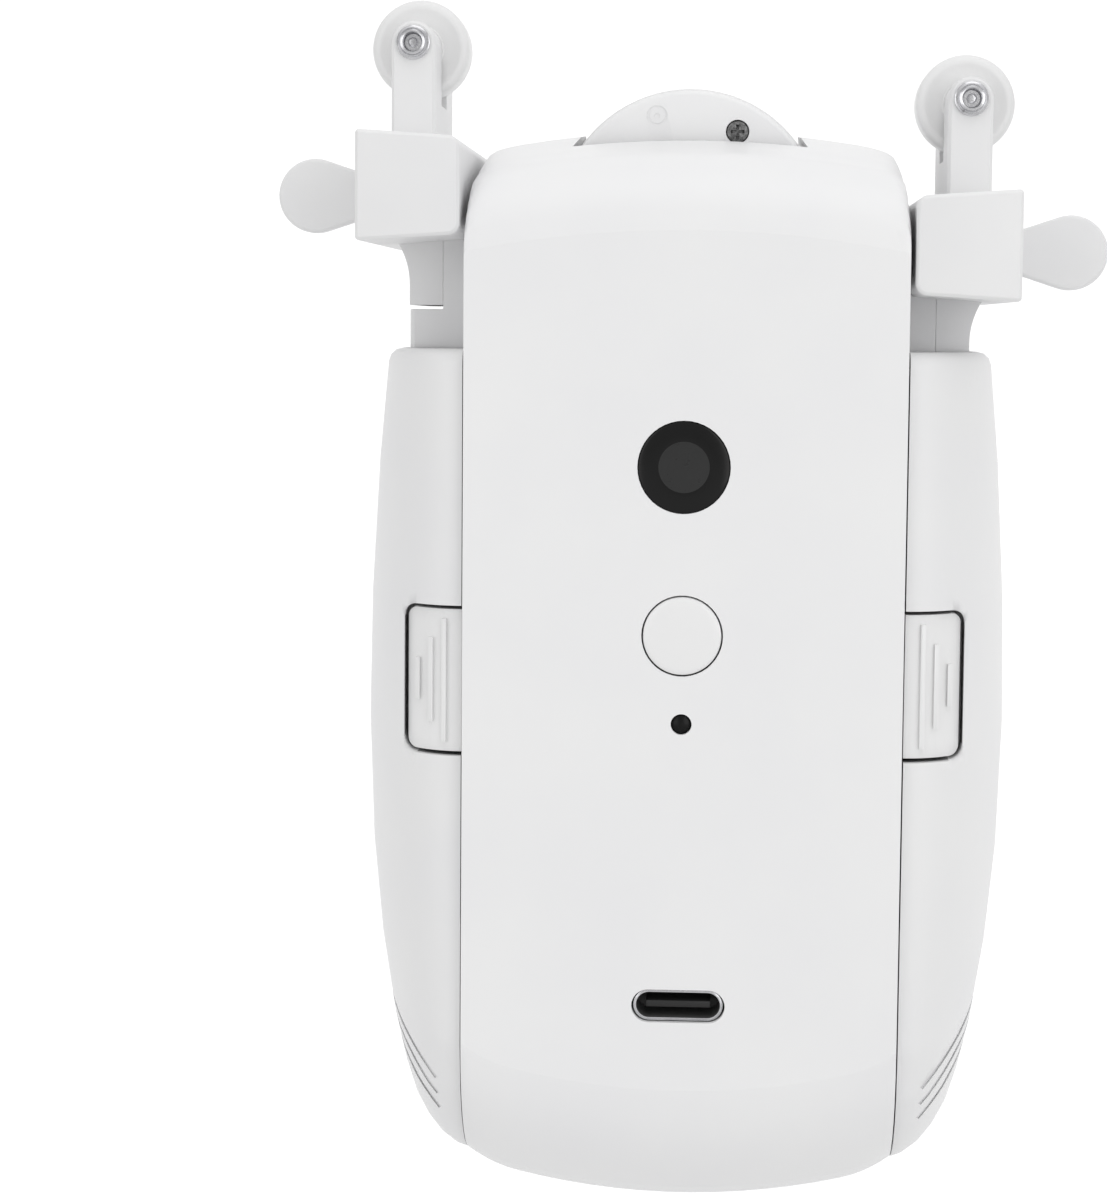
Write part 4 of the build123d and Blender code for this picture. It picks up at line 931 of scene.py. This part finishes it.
@dataclass
class DriveWheel:
    """The drive wheel's tyre, its two side plates and their screws."""

    centre: Point = (0.0, -13.65)
    outer_radius: float = 13.4
    axle_radius: float = 2.0
    inner_face: float = 8.0
    outer_face: float = 9.6
    rim_round: float = 0.5
    rim_angles: tuple[float, ...] = (90, 68, 45, 22, 0)
    plate_steps: int = 128
    screw_circle: float = 10.4
    screw_angle: float = 62.5
    screw_count: int = 4
    screw_sink: float = 0.02
    mark_circle: float = 11.3
    mark_turn: float = 0.5
    pocket: Hole = Hole("pocket", 0.0, 1.2, 0.7, 32)
    mark: Hole = Hole("mark", 0.75, 1.05, 0.12, 32)
    dimple: Hole = Hole("dimple", 0.0, 0.3, 0.12, 24)
    core_radius: float = 11.45
    tread_radius: float = 13.65
    tread_gap: float = 0.02
    tread_shoulder: float = 0.15
    tread_steps: int = 120
    groove_count: int = 30
    groove_width: float = 0.8
    groove_depth: float = 0.35
    groove_margin: float = 0.8
    screw: Screw = Screw(radius=0.8, head_radius=1.13, head_height=0.7, recess=0.16)

    def spots(self, circle: float, turn: float = 0.0) -> list[Point]:
        """Finds evenly spaced places on a circle about the wheel's axis, one for each screw.

        Args:
            circle: The circle's radius.
            turn: How far the places are turned on, as a share of their spacing.

        Returns:
            The places, (x, z).
        """
        found = []
        for n in range(self.screw_count):
            angle = radians(self.screw_angle + 360 * (n + turn) / self.screw_count)
            found.append((self.centre[0] + circle * cos(angle), self.centre[1] + circle * sin(angle)))
        return found

    def sink(self, body: Piece, hole: Hole, spot: Point, facing: int) -> None:
        """Sinks a hole into a plate's outer face.

        Args:
            body: The plate.
            hole: The hole.
            spot: The hole's middle, (x, z).
            facing: -1 for the front plate and 1 for the rear one.
        """
        floor, outside = facing * (self.outer_face - hole.depth), facing * (self.outer_face + OVERSHOOT)
        outline = [(hole.inner, floor), (hole.outer, floor), (hole.outer, outside), (hole.inner, outside)]
        cut_out(body, turned(hole.name, spot, outline, hole.steps))

    def plate(self, name: str, facing: int) -> Piece:
        """Makes one side plate with a rounded rim, screw pockets and moulded marks.

        Args:
            name: The piece's name.
            facing: -1 for the front plate and 1 for the rear one.

        Returns:
            The plate.
        """
        centre = (self.outer_radius - self.rim_round, self.outer_face - self.rim_round)
        rim = arc(centre, self.rim_round, self.rim_angles)
        profile = [
            (self.axle_radius, self.inner_face), (self.axle_radius, self.outer_face), *rim,
            (self.outer_radius, self.inner_face),
        ]
        profile = [(radius, facing * along) for radius, along in profile]
        body = turned(name, self.centre, profile, self.plate_steps)
        for spot in self.spots(self.screw_circle):
            self.sink(body, self.pocket, spot, facing)
        for spot in self.spots(self.mark_circle, self.mark_turn):
            self.sink(body, self.mark, spot, facing)
            self.sink(body, self.dimple, spot, facing)
        return body

    def build(self) -> None:
        """Builds both plates, all the screws and the tyre."""
        self.tyre()
        for name, facing in (("front", -1), ("rear", 1)):
            node = f"wheel_{name}_plate"
            fit(self.plate(f"{node}_moulded", facing), ABS_SHELL, "drive_wheel", "shell_white", node)
        seat = self.outer_face - self.screw.head_height - self.screw_sink
        screws = []
        for n, spot in enumerate(self.spots(self.screw_circle)):
            screws.append(self.screw.build(f"front_screw_{n}", spot, -seat, -seat / 2))
            screws.append(self.screw.build(f"rear_screw_{n}", spot, seat, seat / 2))
        fit(join(screws, "wheel_plate_screws"), PHOSPHATE, "drive_wheel", "screw_black", "wheel_screws")

    def tyre(self) -> None:
        """Builds the tyre: a silicone band whose cross grooves stop short of both edges."""
        half = self.inner_face - self.tread_gap
        tread, shoulder = self.tread_radius, self.tread_shoulder
        profile = [
            (self.core_radius, -half), (tread - shoulder, -half), (tread, shoulder - half), (tread, half - shoulder),
            (tread - shoulder, half), (self.core_radius, half),
        ]
        band = turned("wheel_tyre_band", self.centre, profile, self.tread_steps)
        middle = Vector(self.centre)
        length = half - self.groove_margin
        low, high = tread - self.groove_depth, tread + OVERSHOOT
        cutters = []
        for n in range(self.groove_count):
            angle = 2 * pi * n / self.groove_count
            out, along = Vector((cos(angle), sin(angle))), Vector((-sin(angle), cos(angle)))
            corners = [
                middle + out * reach + along * shift * self.groove_width / 2
                for reach, shift in ((low, -1), (high, -1), (high, 1), (low, 1))
            ]
            cutters.append(slab(f"groove_{n}", [(corner.x, corner.y) for corner in corners], -length, length))
        cut_out(band, join(cutters, "grooves"))
        fit(band, SILICONE, "drive_wheel", "tyre_white", "wheel_tyre")


@dataclass
class HousingScrews:
    """The four screws that hold the shells together, seen down their holes in the back."""

    places: tuple[Point, ...] = ((17.6, -49.5), (12.0, -108.6))
    seat: float = 6.0
    length: float = 11.0
    screw: Screw = Screw(radius=1.0, head_radius=1.9, head_height=1.3, recess=0.28)

    def build(self) -> None:
        """Builds the screws as one piece."""
        screws = [
            self.screw.build(f"case_screw_{n}_{side.label}", (side.value * x, z), self.seat, self.seat - self.length)
            for n, (x, z) in enumerate(self.places)
            for side in Side
        ]
        fit(join(screws, "case_screws"), BLACK_OXIDE, "housing", "screw_black", "housing_screws")


@dataclass
class Arm:
    """One roller arm's turned and pressed pieces: roller, rivet and thumb screw.

    The roller's side is given as (radius, depth below its face) and the rivet's ends as (radius, rise over the fork).
    """

    side: Side
    block_z: float
    fork_x: float = 28.4
    fork_face: float = 9.4
    roller_rise: float = 15.2
    roller_half_width: float = 2.3
    roller_side: tuple[Point, ...] = (
        (1.25, 0.0), (2.3, 0.0), (2.45, 0.12), (3.9, 0.12), (4.1, 0.0), (4.4, 0.0), (4.72, 0.09), (4.97, 0.3),
        (5.1, 0.65),
    )
    roller_steps: int = 96
    rivet_front: tuple[Point, ...] = (
        (0.0, 0.45), (0.36, 0.42), (0.5, 0.3), (0.52, 0.1), (0.85, 0.1), (0.97, 0.25), (0.97, 0.85), (1.02, 0.97),
        (1.14, 1.0), (1.26, 0.96), (1.32, 0.84), (1.36, 0.84), (1.42, 0.9), (1.5, 0.82), (1.53, 0.5), (1.6, 0.43),
        (1.72, 0.38), (1.75, 0.28), (1.75, 0.0), (1.2, 0.0),
    )
    rivet_rear: tuple[Point, ...] = ((1.2, 0.0), (1.75, 0.0), (1.75, 0.28), (1.6, 0.42), (0.0, 0.45))
    rivet_steps: int = 64
    grip_x: float = 39.7
    grip_radius: float = 3.9
    grip_start: float = 33.2
    grip_edge: float = 0.4
    grip_edge_steps: int = 4
    grip_steps: int = 40
    neck_half: float = 1.95
    grip_half: float = 1.1
    hub_radius: float = 1.83
    hub_start: float = 32.6
    hub_sink: float = 0.8
    hub_edge: float = 0.15
    hub_steps: int = 48
    shank_radius: float = 1.5
    shank_tip: float = 30.95
    shank_chamfer: float = 0.4
    shank_steps: int = 40
    thread_start: float = 0.3
    thread_pitch: float = 0.5
    thread_depth: float = 0.25

    @property
    def roller_centre(self) -> Point:
        """Where the roller turns, (x, z)."""
        return (self.side.value * self.fork_x, self.block_z + self.roller_rise)

    def roller(self) -> None:
        """Builds the roller, with a rounded tread edge and a shallow dish in each face round its hub."""
        face = [(radius, depth - self.roller_half_width) for radius, depth in self.roller_side]
        back = [(radius, -along) for radius, along in reversed(face)]
        name = self.side.label
        wheel = turned(f"{name}_roller_turned", self.roller_centre, face + back, self.roller_steps)
        fit(wheel, ACETAL, f"{name}_roller_wheel", "roller_white", f"{name}_roller")

    def rivet(self) -> None:
        """Builds the rivet: a flared, hollow end with a pip in front and a low head behind."""
        profile = [(radius, -self.fork_face - rise) for radius, rise in self.rivet_front]
        profile += [(radius, self.fork_face + rise) for radius, rise in self.rivet_rear]
        name = self.side.label
        pin = turned(f"{name}_rivet_turned", self.roller_centre, profile, self.rivet_steps)
        fit(pin, NICKEL, f"{name}_fork", "steel", f"{name}_roller_rivet")

    def grip(self) -> Piece:
        """Makes the thumb screw's flat pear-shaped grip.

        Returns:
            The grip.
        """
        way = self.grip_start - self.grip_x
        touch = degrees(atan2(self.neck_half, way) - acos(self.grip_radius / hypot(way, self.neck_half)))
        outline = [
            (self.grip_start, self.block_z - self.neck_half),
            *arc((self.grip_x, self.block_z), self.grip_radius, spread(-touch, touch, self.grip_steps)),
            (self.grip_start, self.block_z + self.neck_half),
        ]
        mirrored = [(self.side.value * x, z) for x, z in outline]
        name = f"{self.side.label}_grip"
        return slab(name, mirrored, -self.grip_half, self.grip_half, self.grip_edge, self.grip_edge_steps)

    def along_x(self, name: str, profile: Sequence[Point], steps: int) -> Piece:
        """Turns a part of the thumb screw, with its profile as (radius, distance from the middle plane)."""
        mirrored = [(radius, self.side.value * reach) for radius, reach in profile]
        return turned(f"{self.side.label}_{name}", (0.0, self.block_z), mirrored, steps, Axle.ALONG_X)

    def thumb_screw(self) -> None:
        """Builds the clamping screw: threaded shank, round hub and grip."""
        grip = self.grip()
        radius, start, end = self.hub_radius, self.hub_start, self.grip_start + self.hub_sink
        hub = self.along_x(
            "hub",
            [(0.0, end), (radius, end), (radius, start + self.hub_edge), (radius - self.hub_edge, start), (0.0, start)],
            self.hub_steps,
        )
        radius, tip = self.shank_radius, self.shank_tip
        crests = [(0.0, tip), (radius - self.shank_chamfer, tip)]
        place = tip + self.thread_start
        while place < start - self.thread_pitch / 2:
            crests.append((radius, place))
            crests.append((radius - self.thread_depth, place + self.thread_pitch / 2))
            place += self.thread_pitch
        crests += [(radius, start), (0.0, start)]
        shank = self.along_x("shank", crests, self.shank_steps)
        name = self.side.label
        whole = join([grip, hub, shank], f"{name}_thumb_screw_moulded")
        fit(whole, NYLON_ARM, f"{name}_thumb", "arm_white", f"{name}_thumb_screw")

    def build(self) -> None:
        """Builds the arm's pieces."""
        self.roller()
        self.rivet()
        self.thumb_screw()


@dataclass
class Studio:
    """A white light table, an even white surround and the camera of the photograph."""

    floor_z: float = -174.0
    floor_size: float = 6000.0
    floor_colour: str = "#5A5A5A"
    glow_colour: str = "#FFFFFF"
    floor_roughness: float = 0.9
    # The glow fades towards the front between these two depths, in metres, to this strength.
    floor_fade: Point = (-0.1, 0.14)
    floor_dim: float = 0.58
    camera_place: Triple = (4.3037, -305.3988, -24.3343)
    camera_turn: Triple = (pi / 2 - 0.0949, -0.0072, 0.0612)
    lens: float = 86.1
    sensor: float = 36.0
    clip: Point = (0.01, 50.0)
    lamp_size: float = 0.5
    lamp_target: Triple = (0.0, 0.0, -0.06)
    # Each lamp's name, place in metres and power.
    lamps: tuple[tuple[str, Triple, float], ...] = (
        ("front_right_softbox", (0.38, -0.62, 0.02), 1.2),
        ("front_left_softbox", (-0.42, -0.6, 0.02), 0.85),
        ("overhead_softbox", (0.1, -0.32, 0.6), 0.55),
    )
    # How bright the surround is to the left and right, in front and behind, and below and above.
    surround: tuple[Point, Point, Point] = ((0.52, 0.62), (0.5, 1.15), (0.6, 1.08))
    surround_blend: float = 0.2

    def floor(self) -> None:
        """Lays the pale floor, which glows like a light table so that it stays white under the motor."""
        deselect()
        bpy.ops.mesh.primitive_plane_add(size=self.floor_size * MM, location=(0.0, 0.0, self.floor_z * MM))
        table = bpy.context.object
        table.name = "light_table"
        made = bpy.data.materials.new("acrylic_opal_light_table")
        made.use_nodes = True
        tree = made.node_tree
        shader = tree.nodes["Principled BSDF"]
        shader.inputs["Base Color"].default_value = linear(self.floor_colour)
        shader.inputs["Roughness"].default_value = self.floor_roughness
        shader.inputs["Emission Color"].default_value = linear(self.glow_colour)
        # The fade keeps the motor's rounded bottom edge darker than the face above it.
        place = add_node(tree, "ShaderNodeTexCoord").outputs["Object"]
        glow = axes(tree, place)[1].ramp(*self.floor_fade, self.floor_dim, 1.0, "SMOOTHSTEP")
        tree.links.new(glow.socket, shader.inputs["Emission Strength"])
        table.data.materials.append(made)

    def light(self) -> None:
        """Sets an even surround, brightest behind and above, and three soft lamps."""
        world = bpy.data.worlds.new("white_surround")
        bpy.context.scene.world = world
        world.use_nodes = True
        tree = world.node_tree
        tree.nodes.clear()
        place = add_node(tree, "ShaderNodeTexCoord").outputs["Generated"]
        across, depth, height = (
            toward**2.0 * toward.ramp(-self.surround_blend, self.surround_blend, low, high)
            for toward, (low, high) in zip(axes(tree, place), self.surround)
        )
        total = across + depth + height
        glow = add_node(tree, "ShaderNodeBackground", {"Color": linear(self.glow_colour)}, {"Strength": total.socket})
        add_node(tree, "ShaderNodeOutputWorld", None, {"Surface": glow.outputs["Background"]})
        for name, spot, energy in self.lamps:
            deselect()
            bpy.ops.object.light_add(type="AREA", location=spot)
            lamp = bpy.context.object
            lamp.name = name
            lamp.data.shape = "SQUARE"
            lamp.data.size = self.lamp_size
            lamp.data.energy = energy
            lamp.rotation_euler = (Vector(self.lamp_target) - lamp.location).to_track_quat("-Z", "Y").to_euler()

    def camera(self) -> None:
        """Sets the camera, placed and turned as the photograph was taken."""
        data = bpy.data.cameras.new("photograph_camera")
        data.sensor_width = self.sensor
        data.lens = self.lens
        data.clip_start, data.clip_end = self.clip
        camera = bpy.data.objects.new("photograph_camera", data)
        bpy.context.scene.collection.objects.link(camera)
        camera.location = Vector(self.camera_place) * MM
        camera.rotation_euler = Euler(self.camera_turn)
        bpy.context.scene.camera = camera

    def build(self) -> None:
        """Builds the studio and sets a plain view transform."""
        self.floor()
        self.light()
        self.camera()
        settings = bpy.context.scene.view_settings
        settings.view_transform = "Standard"
        settings.look = "None"
        settings.exposure = 0.0
        settings.gamma = 1.0


def main() -> None:
    """Builds and dresses the motor, then the studio."""
    CadSurfaces().build()
    FrontFittings().build()
    DriveWheel().build()
    HousingScrews().build()
    Arm(Side.LEFT, block_z=-10.7).build()
    Arm(Side.RIGHT, block_z=-16.25).build()
    Studio().build()
    deselect()


if __name__ == "__main__":
    logging.basicConfig(level=logging.INFO)
    main()
